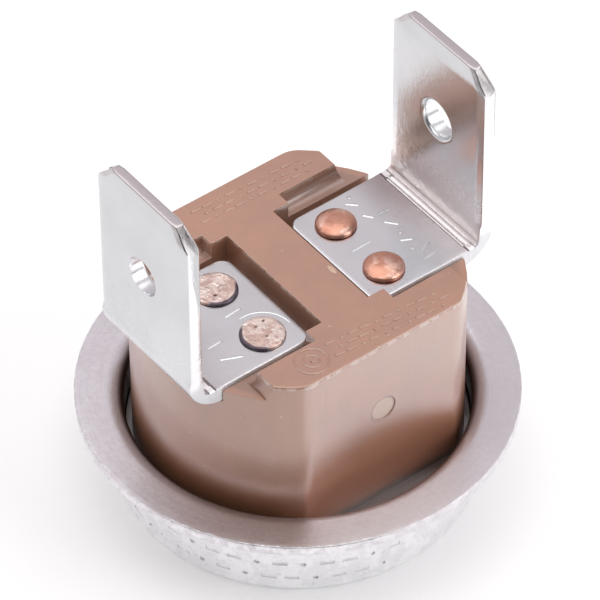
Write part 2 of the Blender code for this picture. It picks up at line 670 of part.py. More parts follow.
def main():
    """Build every piece."""
    remove_objects()
    parts = new_collection(COLLECTION)
    cutters = new_collection(COLLECTION + "_cutters")

    aluminium = material("cup_aluminium", (0.72, 0.68, 0.70), 0.35, 1.0)
    keep(sensing_cup(), parts, aluminium)
    keep(bimetal_disc(), parts, material("disc_bimetal", (0.55, 0.53, 0.50), 0.35, 1.0))
    keep(pin_guide(), parts, material("guide_moulding", (0.20, 0.12, 0.08), 0.5, 0.0))
    keep(transfer_pin(), parts, material("pin_ceramic", (0.85, 0.82, 0.76), 0.4, 0.0))
    keep(switch_base(cutters), parts, material("base_moulding", (0.36, 0.21, 0.15), 0.45, 0.0))

    for name, side in (("left_terminal", -1), ("right_terminal", 1)):
        finish = material(name + "_plating", (0.78, 0.77, 0.76), 0.25, 1.0)
        keep(tab(name, side, cutters), parts, finish)

    for place, row in (("front", -1), ("rear", 1)):
        copper = material(f"right_{place}_copper", (0.80, 0.42, 0.30), 0.3, 1.0)
        keep(rivet(f"right_rivet_{place}", 1, row, domed_head()), parts, copper)
        staked = material(f"left_{place}_metal", (0.72, 0.60, 0.52), 0.4, 1.0)
        keep(rivet(f"left_rivet_{place}", -1, row, staked_head()), parts, staked)

    strip_brass = material("strip_brass", (0.75, 0.60, 0.30), 0.35, 1.0)
    keep(arm_bracket(cutters), parts, strip_brass)
    fixed_strip = clamped_strip("fixed_contact_strip", 1, FIXED_FOOT_TOP, FIXED_FOOT_END, cutters)
    keep(fixed_strip, parts, material("fixed_strip_brass", (0.75, 0.60, 0.30), 0.35, 1.0))

    silver = material("fixed_silver", (0.85, 0.84, 0.82), 0.25, 1.0)
    fixed = keep(contact("fixed_contact"), parts, silver)
    fixed.rotation_euler = (math.pi, 0, 0)
    fixed.location = (CONTACT_X, 0, FIXED_FOOT_TOP + SEAT_GAP)

    hinge = hinge_point()
    arm = keep(contact_arm(), parts, material("arm_spring_alloy", (0.78, 0.50, 0.32), 0.35, 1.0))
    arm.parent = hinge
    moving = keep(contact("moving_contact"), parts, material("moving_silver", (0.85, 0.84, 0.82), 0.25, 1.0))
    moving.parent = hinge
    moving.location = (CONTACT_X - ARM_HINGE_X, 0, -SEAT_GAP)
    bpy.context.view_layer.update()


main()
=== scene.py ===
"""Boiler thermostat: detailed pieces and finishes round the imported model.

Lengths are in metres. The origin is the middle of the cup's underside, +Z runs up through the
tabs and +X points to the right-hand tab, whose rivets are copper domes.
"""

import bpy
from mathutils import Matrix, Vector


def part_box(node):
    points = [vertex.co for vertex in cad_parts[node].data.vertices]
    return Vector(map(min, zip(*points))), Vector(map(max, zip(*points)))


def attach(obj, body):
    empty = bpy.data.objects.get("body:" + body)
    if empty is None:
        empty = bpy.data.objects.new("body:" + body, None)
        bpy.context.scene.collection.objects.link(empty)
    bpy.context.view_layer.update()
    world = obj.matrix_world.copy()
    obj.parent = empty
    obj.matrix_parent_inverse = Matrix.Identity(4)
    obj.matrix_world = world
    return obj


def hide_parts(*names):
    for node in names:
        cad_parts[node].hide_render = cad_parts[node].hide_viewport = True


bl_info = {
    "name": "Boiler Thermostat",
    "version": (1, 0, 0),
    "blender": (4, 5, 0),
    "location": "View3D > Sidebar > Thermostat",
    "description": "Builds a snap disc thermostat with a flanged cup and two push-on tabs",
    "category": "Object",
}

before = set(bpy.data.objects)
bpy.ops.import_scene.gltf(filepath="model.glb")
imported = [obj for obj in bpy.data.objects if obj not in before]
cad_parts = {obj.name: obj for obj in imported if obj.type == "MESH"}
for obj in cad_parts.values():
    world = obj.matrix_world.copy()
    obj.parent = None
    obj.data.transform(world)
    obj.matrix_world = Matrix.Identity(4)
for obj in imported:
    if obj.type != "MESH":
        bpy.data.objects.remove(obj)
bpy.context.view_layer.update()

import math

import bmesh
import bpy
from bpy.props import FloatProperty, FloatVectorProperty, PointerProperty
from mathutils import Matrix, Vector, noise

MM = 0.001
MERGE = 0.001 * MM
CUP_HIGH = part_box("sensing_cup")[1]
BASE_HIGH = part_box("switch_base")[1]
RIGHT_LOW, RIGHT_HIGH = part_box("right_terminal")
LEFT_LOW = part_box("left_terminal")[0]

# The cup: facets round it, its small radii, and the nicks and dents in the flange's edge.
CUP_STEPS = 288
FLOOR_CORNER = 0.2 * MM
FOOT_CORNER = 0.35 * MM
NECK_ROUND = 0.15 * MM
RIM_ROUND = 0.07 * MM
RIM_WEAR_WIDTH = 0.3 * MM
NICK_SPACING, NICK_FINE_SPACING, NICK_DEPTH = 0.55 * MM, 0.2 * MM, 0.035 * MM
DENT_SPACING, DENT_DEPTH = 0.8 * MM, 0.02 * MM
DENT_SHIFT = Vector((7, 3, 1))

# Dashes and dots stamped in the cup's wall: the start, the pitch and a dash's points are in degrees.
WALL_ROWS = ("--.-.--.--.--", ".--.--.-.--.-", "-.--.-.--.--.")
WALL_START = 173
WALL_PITCH = 7.2
WALL_DASH = (-2.3, -0.8, 0.8, 2.3)
WALL_ROW_TOP = 2.6 * MM
WALL_ROW_STEP = 0.85 * MM

# Raised marks on the moulded base: a ring with a dot, and two bands of dashes and dots.
RING_PLACE = (-3.0 * MM, -4.95 * MM)
RING_RADII = ((0.75 * MM, 18), (0.36 * MM, 12))
BAND_ROWS = ("-.--.-.--.", ".--.--.-.-", "--.-.-.--.")
BAND_HEIGHT = 0.9 * MM
NEAR_BAND = ((-1.75 * MM, -4.93 * MM), (4.1 * MM, -5.38 * MM))
FAR_BAND = ((-1.42 * MM, 5.05 * MM), (4.6 * MM, 4.85 * MM))
DASH_HALF = 0.25
BAND_REACH = 0.45

# The tabs, in the side view of the right-hand one.
TAB_SHEET = 0.8 * MM
TAB_SHIFT = -0.18 * MM
TAB_INNER = RIGHT_HIGH.x - TAB_SHEET
TAB_MIDDLE = RIGHT_HIGH.x - TAB_SHEET / 2
PLATE_TOP = RIGHT_LOW.z + TAB_SHEET
PLATE_WIDTH = 6.26 * MM
PLATE_CORNER = 0.6 * MM
SHOULDER, SHOULDER_RUN = 6.5 * MM, 0.05 * MM
BLADE_WIDTH = 6.3 * MM
BLADE_START = PLATE_TOP + 0.6 * MM
TAB_CHAMFER = 0.9 * MM
TIP_PRESS, TIP_TAPER = 0.14 * MM, 0.7 * MM
INNER_BEND = 0.3 * MM
OUTER_BEND = 1.8 * MM
SECTION_STEP = 0.17 * MM
HOLE_RADIUS, HOLE_MOUTH = 0.93 * MM, 0.2 * MM
HOLE_HEIGHT = RIGHT_HIGH.z - 4.45 * MM
RIVET_HOLE = 0.77 * MM

# The tabs' skin: rows across the sheet, pressed edges of the blade, ripples and a lump at the bend.
FLAT_ROWS = 34
EDGE_ROWS = (0, 0.15, 0.4, 0.7, 1.0)
PRESSED_ROWS = (0.5, 0.75, 1.0)
EDGE_EASE = 0.8
EDGE_REACH = 0.35 * MM
EDGE_PRESS = 0.26
BLADE_FOOT = (12.15 * MM, 12.35 * MM)
BEND_RUN, BEND_FADE = (5.8 * MM, 7.4 * MM), (13.5 * MM, 16 * MM)
BEND_RIPPLE, BLADE_RIPPLE, RIPPLE_HEIGHT = 0.42 * MM, 1.4 * MM, 0.007 * MM
LUMP_SPOT = Vector((7.3 * MM, PLATE_TOP + 0.1 * MM))
LUMP_SIDE = (-2.4 * MM, -3.1 * MM)
LUMP_REACH, LUMP_HEIGHT = 0.55 * MM, 0.06 * MM

# Strokes and grooves stamped in the plates; the strokes are in millimetres, for each side.
GROOVES_FROM_BEND = (0.02 * MM, 0.26 * MM)
GROOVE_HALF, GROOVE_WIDTH = 2.75 * MM, 0.17 * MM
RIVET_RING_RADIUS, RIVET_RING_WIDTH = 1.36 * MM, 0.11 * MM
PLATE_STROKES = {
    -1: [
        [(-3.94, -0.08), (-3.08, -0.02)], [(-5.65, -1.15), (-4.89, -1.10)],
        [(-5.64, -1.99), (-4.74, -2.39)],
    ],
    1: [
        [(2.86, -0.23), (3.85, -0.20)], [(4.45, 2.32), (4.85, 1.92)], [(4.83, 2.55)],
        [(4.6, 1.3), (4.9, 0.9)], [(5.15, 0.91), (5.71, 0.90)], [(5.1, 0.4), (5.5, -0.1)],
        [(5.25, -0.55)], [(4.95, -0.95), (5.4, -1.2)], [(5.05, -1.65)], [(5.3, -1.95), (5.85, -1.85)],
        [(5.1, -2.5), (5.8, -2.45)],
    ],
}

# The rivets: heads on the plate, shanks through it and the base, and feet under the strips inside.
RIVET_STEPS = 64
RIVET_SEAT = PLATE_TOP + 0.03 * MM
RIVET_SHANK = 0.75 * MM
DOME_RADIUS, DOME_COLLAR = 0.93 * MM, 0.08 * MM
DOME_UNDERCUT, DOME_LIP = 0.9 * MM, 0.03 * MM
STAKED_RADIUS, STAKED_EDGE, STAKED_DIP = 1.02 * MM, 0.09 * MM, 0.012 * MM
STAKED_UNDERCUT = 0.95 * MM
FOOT_RADIUS, FOOT_TIP_RADIUS, FOOT_TIP = 1.15 * MM, 1.0 * MM, 0.08 * MM
FOOT_TOP = 8.32 * MM
HAMMERED_FROM = PLATE_TOP + 0.035 * MM
DOME_HAMMERING, STAKED_HAMMERING = 0.04 * MM, 0.07 * MM
DENTS_PER_METRE = 1.4 / MM
TURNS_SEED = 4

# The lamps, each with its place, size, power and colour, and the tent of light by height.
LAMPS = (
    ("top_softbox", (-0.02, 0.03, 0.25), 0.28, 0.25, (1.0, 0.99, 0.98)),
    ("front_right_softbox", (0.10, -0.155, 0.135), 0.13, 0.11, (1.0, 1.0, 1.0)),
)
LAMP_AIM = Vector((0, 0, 0.01))
BACK_LIGHT = (
    (0.0, (0.66, 0.66, 0.66)), (0.3, (0.66, 0.63, 0.64)), (0.6, (0.72, 0.66, 0.69)),
    (0.8, (0.76, 0.69, 0.72)), (0.95, (0.68, 0.68, 0.68)),
)
FRONT_LIGHT = (
    (0.0, (0.30, 0.30, 0.30)), (0.3, (0.16, 0.155, 0.158)), (0.6, (0.10, 0.097, 0.099)),
    (0.8, (0.16, 0.155, 0.158)), (0.95, (0.65, 0.65, 0.65)),
)
WHITE = (1.0, 1.0, 1.0)
FLOOR_REACH = 1.5

# The photograph's camera: angles in degrees, lengths in metres, focal length in its pixels.
CAMERA_TURN = (-37.24472, 44.93205, -0.3654975)
CAMERA_DISTANCE = 0.21864965
CAMERA_SHIFT = (-0.000111046, -0.00129022)
CAMERA_AIM = Vector((0, 0, 0.008))
FOCAL_PIXELS, PHOTO_PIXELS = 5000.209, 600


class Signal:
    """One value that a finish's nodes pass on; arithmetic on it adds Math nodes."""

    def __init__(self, finish, socket):
        self.finish = finish
        self.socket = socket

    def math(self, operation, *others):
        return self.finish.node("ShaderNodeMath", {"operation": operation}, (self, *others))

    def __add__(self, other):
        return self.math("ADD", other)

    def __sub__(self, other):
        return self.math("SUBTRACT", other)

    def __mul__(self, other):
        return self.math("MULTIPLY", other)

    def __truediv__(self, other):
        return self.math("DIVIDE", other)

    def __pow__(self, other):
        return self.math("POWER", other)

    def __rsub__(self, other):
        return self.finish.node("ShaderNodeMath", {"operation": "SUBTRACT"}, (other, self))

    __radd__ = __add__
    __rmul__ = __mul__

    def size(self):
        return self.math("ABSOLUTE")

    def rise(self, low, high):
        """0 below low, 1 above high and smooth between them; low may be the greater."""
        settings = {"interpolation_type": "SMOOTHSTEP"}
        if low > high:
            return 1 - self.rise(high, low)
        values = {"Value": self, "From Min": low, "From Max": high}
        return self.finish.node("ShaderNodeMapRange", settings, values)

    def band(self, low, high, soft):
        """1 between low and high, fading to 0 over the width of soft."""
        return self.rise(low - soft, low) * self.rise(high + soft, high)


class Nodes:
    """A shader node tree that is written as expressions."""

    def __init__(self, tree):
        self.tree = tree

    def node(self, kind, settings, values, output=0):
        """Add a node: its settings first, then the values or links of its sockets."""
        made = self.tree.nodes.new(kind)
        for name, value in settings.items():
            setattr(made, name, value)
        pairs = values.items() if isinstance(values, dict) else enumerate(values)
        for key, value in pairs:
            self.join(made.inputs[key], value)
        return Signal(self, made.outputs[output])

    def join(self, socket, value):
        """Link a signal to a socket, or set the socket to a number, colour or vector."""
        if isinstance(value, Signal):
            self.tree.links.new(value.socket, socket)
        elif isinstance(value, tuple) and socket.type == "RGBA":
            socket.default_value = (*value[:3], 1)
        else:
            socket.default_value = value

    def mix(self, first, second, share):
        """Blend two colours."""
        mixed = self.tree.nodes.new("ShaderNodeMix")
        mixed.data_type = "RGBA"
        sockets = {s.identifier: s for s in mixed.inputs}
        self.join(sockets["Factor_Float"], share)
        self.join(sockets["A_Color"], first)
        self.join(sockets["B_Color"], second)
        return Signal(self, next(s for s in mixed.outputs if s.identifier == "Result_Color"))

    def vector(self, operation, *values, **named):
        """One Vector Math node, its sockets given in order or by name."""
        made = self.tree.nodes.new("ShaderNodeVectorMath")
        made.operation = operation
        for socket, value in zip(made.inputs, values):
            self.join(socket, value)
        for name, value in named.items():
            self.join(made.inputs[name], value)
        return Signal(self, made.outputs[0])

    def at(self, x, y, z):
        """A vector or grey colour from three values."""
        return self.node("ShaderNodeCombineXYZ", {}, (x, y, z))

    def ramp(self, stops, share):
        """Colours along a share from 0 to 1, from pairs of a place and a colour."""
        made = self.node("ShaderNodeValToRGB", {}, (share,), "Color")
        elements = made.socket.node.color_ramp.elements
        while len(elements) < len(stops):
            elements.new(0.5)
        for element, (place, colour) in zip(elements, stops):
            element.position = place
            element.color = (*colour, 1)
        return made

    def parts(self, vector):
        """The X, Y and Z of a vector."""
        return [self.node("ShaderNodeSeparateXYZ", {}, (vector,), axis) for axis in "XYZ"]


class Finish(Nodes):
    """A Principled material with the object's own coordinates, in millimetres."""

    def __init__(self, name, **constants):
        self.material = bpy.data.materials.new(name)
        self.material.use_nodes = True
        super().__init__(self.material.node_tree)
        self.shader = self.tree.nodes["Principled BSDF"]
        for socket, value in constants.items():
            self.shader.inputs[socket.replace("_", " ")].default_value = value
        self.object_place = self.node("ShaderNodeTexCoord", {}, {}, "Object")
        self.spots = []

    def place(self):
        """X, Y and Z on the object, in millimetres."""
        self.spots = self.spots or self.parts(self.vector("SCALE", self.object_place, Scale=1 / MM))
        return self.spots

    def noise(self, per_mm, detail=3.0, stretch=(1, 1, 1), where=None, rough=0.55, twist=0.0):
        """Noise with a number of cells to the millimetre, from 0 to 1."""
        spot = where or self.vector("SCALE", self.object_place, Scale=1 / MM)
        scaled = self.vector("MULTIPLY", spot, tuple(per_mm * s for s in stretch))
        values = {"Vector": scaled, "Scale": 1.0, "Detail": detail, "Roughness": rough, "Distortion": twist}
        return self.node("ShaderNodeTexNoise", {}, values, "Fac")

    def normal(self):
        """X, Y and Z of the surface's own normal."""
        return self.parts(self.node("ShaderNodeNewGeometry", {}, {}, "Normal"))

    def round_place(self, per_mm, along):
        """Coordinates in which a pattern runs in rings round Z: fine across, long round."""
        x, y, z = self.place()
        radius = (x * x + y * y) ** 0.5
        return radius, self.at(x / radius * along, y / radius * along, (radius + z) * per_mm)

    def cells(self, per_mm):
        """Distance from the middle of the nearest of some scattered cells."""
        spot = self.vector("SCALE", self.object_place, Scale=per_mm / MM)
        return self.node("ShaderNodeTexVoronoi", {}, {"Vector": spot, "Scale": 1.0}, "Distance")

    def finish(self, colour, roughness, height, depth):
        """Send the detail to the shader and return the material; depth is how far height reaches."""
        self.join(self.shader.inputs["Base Color"], colour)
        self.join(self.shader.inputs["Roughness"], roughness)
        bump = self.node("ShaderNodeBump", {}, {"Height": height, "Distance": depth})
        self.join(self.shader.inputs["Normal"], bump)
        return self.material


def toned(colour, *shares):
    """A colour made darker or lighter, by one share or by one for each channel."""
    return tuple(min(1, c * share) for c, share in zip(colour, shares * 3))


def colour_property(name, description, default):
    return FloatVectorProperty(
        name=name, description=description, default=default, size=3, subtype="COLOR", min=0, max=1)


def length_property(name, description, default):
    return FloatProperty(
        name=name, description=description, default=default, unit="LENGTH", precision=5, min=0)


class ThermostatSizes(bpy.types.PropertyGroup):
    """Sizes of the detailed pieces."""

    flange_radius: length_property("Flange Radius", "From the axis to the flange's edge", CUP_HIGH.x)
    cup_height: length_property("Cup Height", "From the sensing face to the flange's top", CUP_HIGH.z)
    cup_sheet: length_property("Cup Sheet", "Thickness of the cup's sheet", 0.5 * MM)
    bore_radius: length_property("Bore Radius", "From the axis to the cup's bore", 7.7 * MM)
    mouth_round: length_property("Mouth Rounding", "Radius where the bore turns into the flange", 0.8 * MM)
    edge_round: length_property("Moulded Edges", "Rounding of the moulding's edges", 0.07 * MM)
    tab_edge: length_property("Tab Edges", "Rounding of the tabs' edges", 0.07 * MM)
    mark_width: length_property("Mark Width", "Width of a moulded or stamped stroke", 0.16 * MM)
    mark_height: length_property("Mark Height", "Rise of the moulded strokes", 0.045 * MM)
    stamp_depth: length_property("Stamp Depth", "Depth of the strokes stamped in metal", 0.06 * MM)


class ThermostatColours(bpy.types.PropertyGroup):
    """Colours of the finishes."""

    moulding: colour_property("Moulding", "Phenolic of the base", (0.43, 0.188, 0.098))
    moulding_pale: colour_property("Moulding, Pale", "Chipped edges and dust on the base", (0.66, 0.47, 0.38))
    aluminium: colour_property("Aluminium", "Drawn cup", (0.76, 0.75, 0.775))
    plating: colour_property("Plating", "Nickel on the tabs", (0.74, 0.755, 0.77))
    copper: colour_property("Copper", "Domed rivets", (0.66, 0.34, 0.25))
    staked: colour_property("Staked Metal", "Flat rivets", (0.86, 0.72, 0.66))
    brass: colour_property("Brass", "Strips inside", (0.75, 0.60, 0.30))
    spring: colour_property("Spring Alloy", "Contact arm", (0.78, 0.50, 0.32))
    silver: colour_property("Silver", "Contacts", (0.85, 0.84, 0.82))
    ceramic: colour_property("Ceramic", "Transfer pin", (0.85, 0.82, 0.76))
    bimetal: colour_property("Bimetal", "Snap disc", (0.55, 0.53, 0.50))


def moulding_finish(colours):
    """Brown phenolic with a glassy skin, grained, dusty and chipped pale along its top edges; painted shade
    low on the sides, in the pockets and in the gap inside the cup, and painted bounce light low on the front
    flat.
    """
    pad_face, pad_ring, flash_tan = (0.60, 0.40, 0.26), (0.22, 0.09, 0.05), (0.72, 0.46, 0.32)
    painted_bounce_light, painted_low_shade, painted_gap_shade = (0.62, 0.27, 0.165), (0.25, 0.10, 0.055), (0.05, 0.02, 0.012)
    line_places, line_half = (-3.12, 1.72), (0.05, 0.02)
    pad_height, flash_x, flash_y = 8.0, 1.06, -1.1
    f = Finish("moulded_phenolic", IOR=1.55, Specular_IOR_Level=0.8, Coat_IOR=2.8, Coat_Roughness=0.24)
    x, y, z = f.place()
    nx, ny, nz = f.normal()
    top = BASE_HIGH.z / MM
    up = nz.rise(0.5, 0.9)
    flat = ny.rise(-0.9, -0.98)
    cloud = f.noise(0.35, 4, rough=0.6).rise(0.3, 0.7)
    grain = f.noise(9, 2)
    flow = f.noise(0.8, 5, stretch=(1, 1, 0.15)).rise(0.35, 0.7)
    dark = toned(colours.moulding, 0.9)
    body = f.mix(dark, toned(colours.moulding, 1.1), cloud * 0.6 + flow * 0.4)

    ragged = f.noise(1.5, 4, rough=0.7)
    edge = (z + ragged * 0.5).rise(top + 0.06, top + 0.16) * (1 - up) * ragged.rise(0.47, 0.53)
    dust = f.noise(3.1, 1).rise(0.765, 0.79)
    scratch = f.noise(1.0, 1, stretch=(0.8, 0.8, 14)).rise(0.78, 0.80) * (1 - up) * 0.3
    worn = (edge * 0.9 + dust * 0.5 + scratch).math("MINIMUM", 1.0)
    body = f.mix(body, tuple(colours.moulding_pale), worn)
    left_line, right_line = ((x - place).size().rise(*line_half) for place in line_places)
    body = f.mix(body, dark, (left_line + right_line) * flat * z.rise(5.5, 7.0) * 0.9)

    from_pad = (x * x + (z - pad_height) * (z - pad_height)) ** 0.5
    body = f.mix(body, pad_face, from_pad.rise(0.60, 0.50) * ny.rise(-0.5, -0.8) * 0.75)
    body = f.mix(body, pad_ring, from_pad.band(0.60, 0.68, 0.06) * ny.rise(-0.3, -0.6) * 0.7)
    # Painted light: the front flat is painted a lighter warm brown low down, standing in for light bounced up
    # from the cup.
    low = z.rise(7.5, 5.0) * (1 - z.rise(3.4, 2.9)) * flat
    body = f.mix(body, painted_bounce_light, low * 0.8)
    # Painted shade: the round sides are painted darker towards the cup's flange.
    body = f.mix(body, painted_low_shade, z.rise(6.4, 4.2) * (1 - flat) * 0.5)
    # Painted shade: the moulding is painted darker in the pockets below the top face.
    painted_recess_shade = z.rise(top - 0.05, top - 0.4) * (x * x + y * y).rise(52, 47) * y.size().rise(5.6, 5.3)
    body = f.mix(body, toned(colours.moulding, 0.55), painted_recess_shade * 0.6)

    from_flash = (x - flash_x) * (x - flash_x) / 0.02 + (y - flash_y) * (y - flash_y) / 0.12
    flash = (from_flash + ragged * 0.6).rise(1.2, 0.9) * up
    body = f.mix(body, flash_tan, flash * 0.85)
    # Painted shade: the moulding turns near black low down in the gap inside the cup.
    body = f.mix(body, painted_gap_shade, z.rise(3.2, 2.7) * 0.9)
    turned_away = (ny * 0.8 + nx * 0.6).rise(-0.5, -0.85) * (1 - flat)
    f.join(f.shader.inputs["Coat Weight"], 1 - up * 0.45 - turned_away * 0.35)
    height = grain * 0.5 + dust + flow * 0.3 + edge * 1.5 + flash * 4
    return f.finish(body, 0.40 + grain * 0.12 + cloud * 0.06, height, 0.008 * MM)


def aluminium_finish(colours):
    """Drawn aluminium: mottled, faintly brushed round the flange, scuffed on the wall; the wall is painted
    lighter as sheen, the bore dark as shade and brown as the base's reflection, and the flange's front right
    greyer as shade.
    """
    worn_and_painted_sheen, rubbed = (0.90, 0.91, 0.92), (0.99, 0.99, 0.99)
    nicked, dirty = (0.42, 0.40, 0.42), (0.38, 0.37, 0.38)
    painted_bore_shade, painted_base_reflection, painted_front_shade = (0.10, 0.085, 0.08), (0.30, 0.19, 0.15), (0.63, 0.60, 0.63)
    f = Finish("drawn_aluminium", Metallic=1.0)
    x, y, z = f.place()
    radius, rings = f.round_place(7.0, 2.2)
    streak = f.noise(1, 3, where=rings, rough=0.7)
    fine = f.noise(1, 2, where=f.round_place(22.0, 5.0)[1], rough=0.6)
    cloud = f.noise(0.5, 3).rise(0.35, 0.7)
    mottle = f.noise(3.2, 4, rough=0.7).rise(0.36, 0.66)
    dull = toned(colours.aluminium, 0.82, 0.79, 0.81)
    base = f.mix(tuple(colours.aluminium), dull, streak.rise(0.35, 0.68) * 0.25 + cloud * 0.2 + mottle * 0.35)

    wall = z.rise(4.25, 4.1)
    scuff = f.noise(1.3, 4, stretch=(1, 1, 0.6), twist=0.5).rise(0.46, 0.60) * wall
    worn = f.noise(2.4, 2).rise(0.68, 0.73) * (1 - wall)
    dirt = f.noise(3.0, 4, stretch=(1, 1, 2), rough=0.7).rise(0.58, 0.62) * wall
    rim = radius.rise(9.80, 9.86)
    # Painted sheen: the wall is painted lighter so that it shows brighter; on the flange the same colour
    # bares worn spots.
    base = f.mix(base, worn_and_painted_sheen, wall * 0.6 + worn * 0.25)
    base = f.mix(base, rubbed, scuff * 0.45)
    base = f.mix(base, rubbed, rim * f.noise(2.6, 3).rise(0.46, 0.60) * 0.4)
    base = f.mix(base, nicked, rim * f.noise(4.1, 3).rise(0.58, 0.64) * 0.3)
    base = f.mix(base, dirty, dirt * 0.22)

    # Painted shade: the bore is painted near black where the base shades it.
    inside = radius.rise(8.1, 7.75) * (1 - f.normal()[2].rise(0.7, 0.95))
    shaded = y.rise(-5.9, -5.5).math("MAXIMUM", x.rise(1.0, 3.0)).math("MAXIMUM", z.rise(3.3, 2.9))
    base = f.mix(base, painted_bore_shade, inside * shaded)
    # Painted reflection: the bore's front is painted with the base's brown.
    base = f.mix(base, painted_base_reflection, inside * (1 - shaded) * x.rise(-1.5, 0.5) * 0.8)
    # Painted shade: the flange is painted greyer towards the front right.
    base = f.mix(base, painted_front_shade, (x * 0.6 - y * 0.8).rise(4, 9) * (1 - wall) * 0.45)
    rough = 0.28 + streak * 0.08 + mottle * 0.05 - wall * 0.04 + scuff * 0.1
    height = streak * 0.35 + fine * 0.3 + mottle * 0.3 + scuff * 0.5 + rim * mottle
    return f.finish(base, rough, height, 0.010 * MM)


def plating_finish(colours):
    """Satin nickel plate, hammered and a little rougher where the sheet was bent; painted shade greys the
    plates towards the bend and the tips' tops, a painted highlight with shade lines marks the crease, the
    inner faces are painted lighter low down, and the cut edges are painted bright, partly bare metal and
    partly a painted highlight.
    """
    painted_bend_shade, painted_crease_shade, painted_crease_highlight = (0.42, 0.365, 0.365), (0.14, 0.11, 0.11), (0.99, 0.99, 0.99)
    painted_inner_highlight, bright, painted_tip_shade = (0.97, 0.92, 0.91), (0.88, 0.89, 0.91), (0.56, 0.52, 0.52)
    f = Finish("nickel_plate", Metallic=1.0)
    x, y, z = f.place()
    nx, ny, nz = f.normal()
    grain = f.noise(7, 3, stretch=(1, 1, 0.5))
    peel = f.noise(3.2, 2, rough=0.5)
    cloud = f.noise(0.4, 3).rise(0.35, 0.7)
    fleck = f.noise(2.6, 1).rise(0.73, 0.76)
    base = f.mix(tuple(colours.plating), toned(colours.plating, 0.88), cloud * 0.5 + fleck * 0.5)

    reach = x.size()
    plate = nz.rise(0.6, 0.9) * z.rise(12.2, 11.8)
    bend = (reach - 7.6).size().rise(1.3, 0.4) * z.rise(15.0, 12.5)
    crease = z.rise(12.0, 11.7) * nz.rise(-0.2, 0.1)
    # Painted shade: the plates are painted greyer towards the bend, most at the near side.
    base = f.mix(base, painted_bend_shade, plate * reach.rise(4.4, 7.0) * (y.rise(-2.6, 2.2) * 0.75 + 0.25))
    # Painted shade and painted highlight: dark lines either side of the crease and a white line along it.
    base = f.mix(base, painted_crease_shade, reach.band(6.84, 7.26, 0.04) * crease * 0.9)
    base = f.mix(base, painted_crease_highlight, reach.band(6.93, 7.17, 0.03) * crease)

    cut_edge = ny.size().rise(0.5, 0.8).math("MAXIMUM", nz.rise(0.25, 0.45) * z.rise(19.0, 19.8))
    inner = (nx * x).rise(-1.0, -5.0)
    # Painted highlight: the blades' inner faces are painted lighter low down.
    base = f.mix(base, painted_inner_highlight, inner * z.rise(15.4, 12.6) * 0.85)
    # Cut edges are painted bright: partly bare cut metal and partly a painted highlight.
    base = f.mix(base, bright, cut_edge * 0.95)
    # Painted shade: the top faces of the blades' tips are painted greyer.
    base = f.mix(base, painted_tip_shade, cut_edge * z.rise(19.6, 20.3) * 0.8)
    rough = 0.19 + grain * 0.10 + bend * 0.05 + cut_edge * z.rise(12.2, 11.6) * 0.45
    height = grain * 0.4 + peel * (0.3 + bend * 1.6)
    return f.finish(base, rough, height, 0.010 * MM)


def copper_finish(colours):
    """Copper domes: salmon, with paler rubbed patches, and painted dark red low on the sides as a painted
    reflection.
    """
    rubbed_pink, painted_low_reflection = (0.92, 0.66, 0.56), (0.30, 0.07, 0.04)
    f = Finish("bright_copper", Metallic=1.0)
    z = f.place()[2]
    blotch = f.noise(1.1, 4, twist=0.6).rise(0.42, 0.70)
    rubbed = f.noise(1.5, 3, twist=0.4).rise(0.45, 0.68)
    grain = f.noise(6, 2)
    base = f.mix(tuple(colours.copper), toned(colours.copper, 0.72, 0.58, 0.52), blotch * 0.6)
    base = f.mix(base, rubbed_pink, rubbed * 0.6)
    # Painted reflection: the dome is painted dark red low down, next to the plate.
    low = z.rise(PLATE_TOP / MM + 0.16, PLATE_TOP / MM + 0.02)
    base = f.mix(base, painted_low_reflection, low * 0.8)
    return f.finish(base, 0.27 + grain * 0.12, grain + blotch + rubbed, 0.009 * MM)


def staked_finish(colours):
    """Staked rivet metal: pale, pitted, stained brown, with a dark crescent painted along the edge at one
    side of each head.
    """
    stain_brown, rubbed_pale, pit_dark, crescent_dark = (
        (0.50, 0.31, 0.25), (0.93, 0.86, 0.83), (0.12, 0.07, 0.07), (0.06, 0.05, 0.08))
    crescent_sides = (("left_rivet_rear", (0.135, -0.99)), ("left_rivet_front", (-0.99, -0.135)))
    f = Finish("staked_metal", Metallic=1.0)
    x, y = f.place()[:2]
    blotch = f.noise(1.3, 4, twist=1.2).rise(0.45, 0.58)
    rubbed = f.noise(2.2, 3, twist=0.8).rise(0.54, 0.62)
    pit = f.cells(2.4).rise(0.24, 0.12) * f.noise(0.9, 1).rise(0.46, 0.56)
    grain = f.noise(5, 3)
    base = f.mix(tuple(colours.staked), stain_brown, blotch * 0.6)
    base = f.mix(base, rubbed_pale, rubbed * 0.5)
    base = f.mix(base, pit_dark, pit * 0.9)
    # A dark crescent is painted along the edge at one side of each head.
    for node, way in crescent_sides:
        middle = middle_of(node) / MM
        across, along = x - middle.x, y - middle.y
        radius = (across * across + along * along) ** 0.5
        ahead = (across * way[0] + along * way[1]).rise(0.25, 0.6)
        base = f.mix(base, crescent_dark, radius.band(0.90, 1.05, 0.06) * ahead * 0.9)
    return f.finish(base, 0.30 + grain * 0.18, grain + rubbed * 0.8 - pit * 2.0, 0.02 * MM)


def middle_of(node):
    """The middle of a CAD node's box."""
    low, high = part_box(node)
    return (low + high) / 2


def strip_finish(name, colour, roughness, tint):
    """Rolled sheet for the pieces inside, with fine lines along X and stains."""
    f = Finish(name, Metallic=1.0)
    lines = f.noise(6, 2, stretch=(0.1, 1, 1))
    stain = f.noise(0.6, 3).rise(0.4, 0.7)
    return f.finish(f.mix(tuple(colour), tint, stain * 0.5), roughness + lines * 0.12, lines, 0.006 * MM)


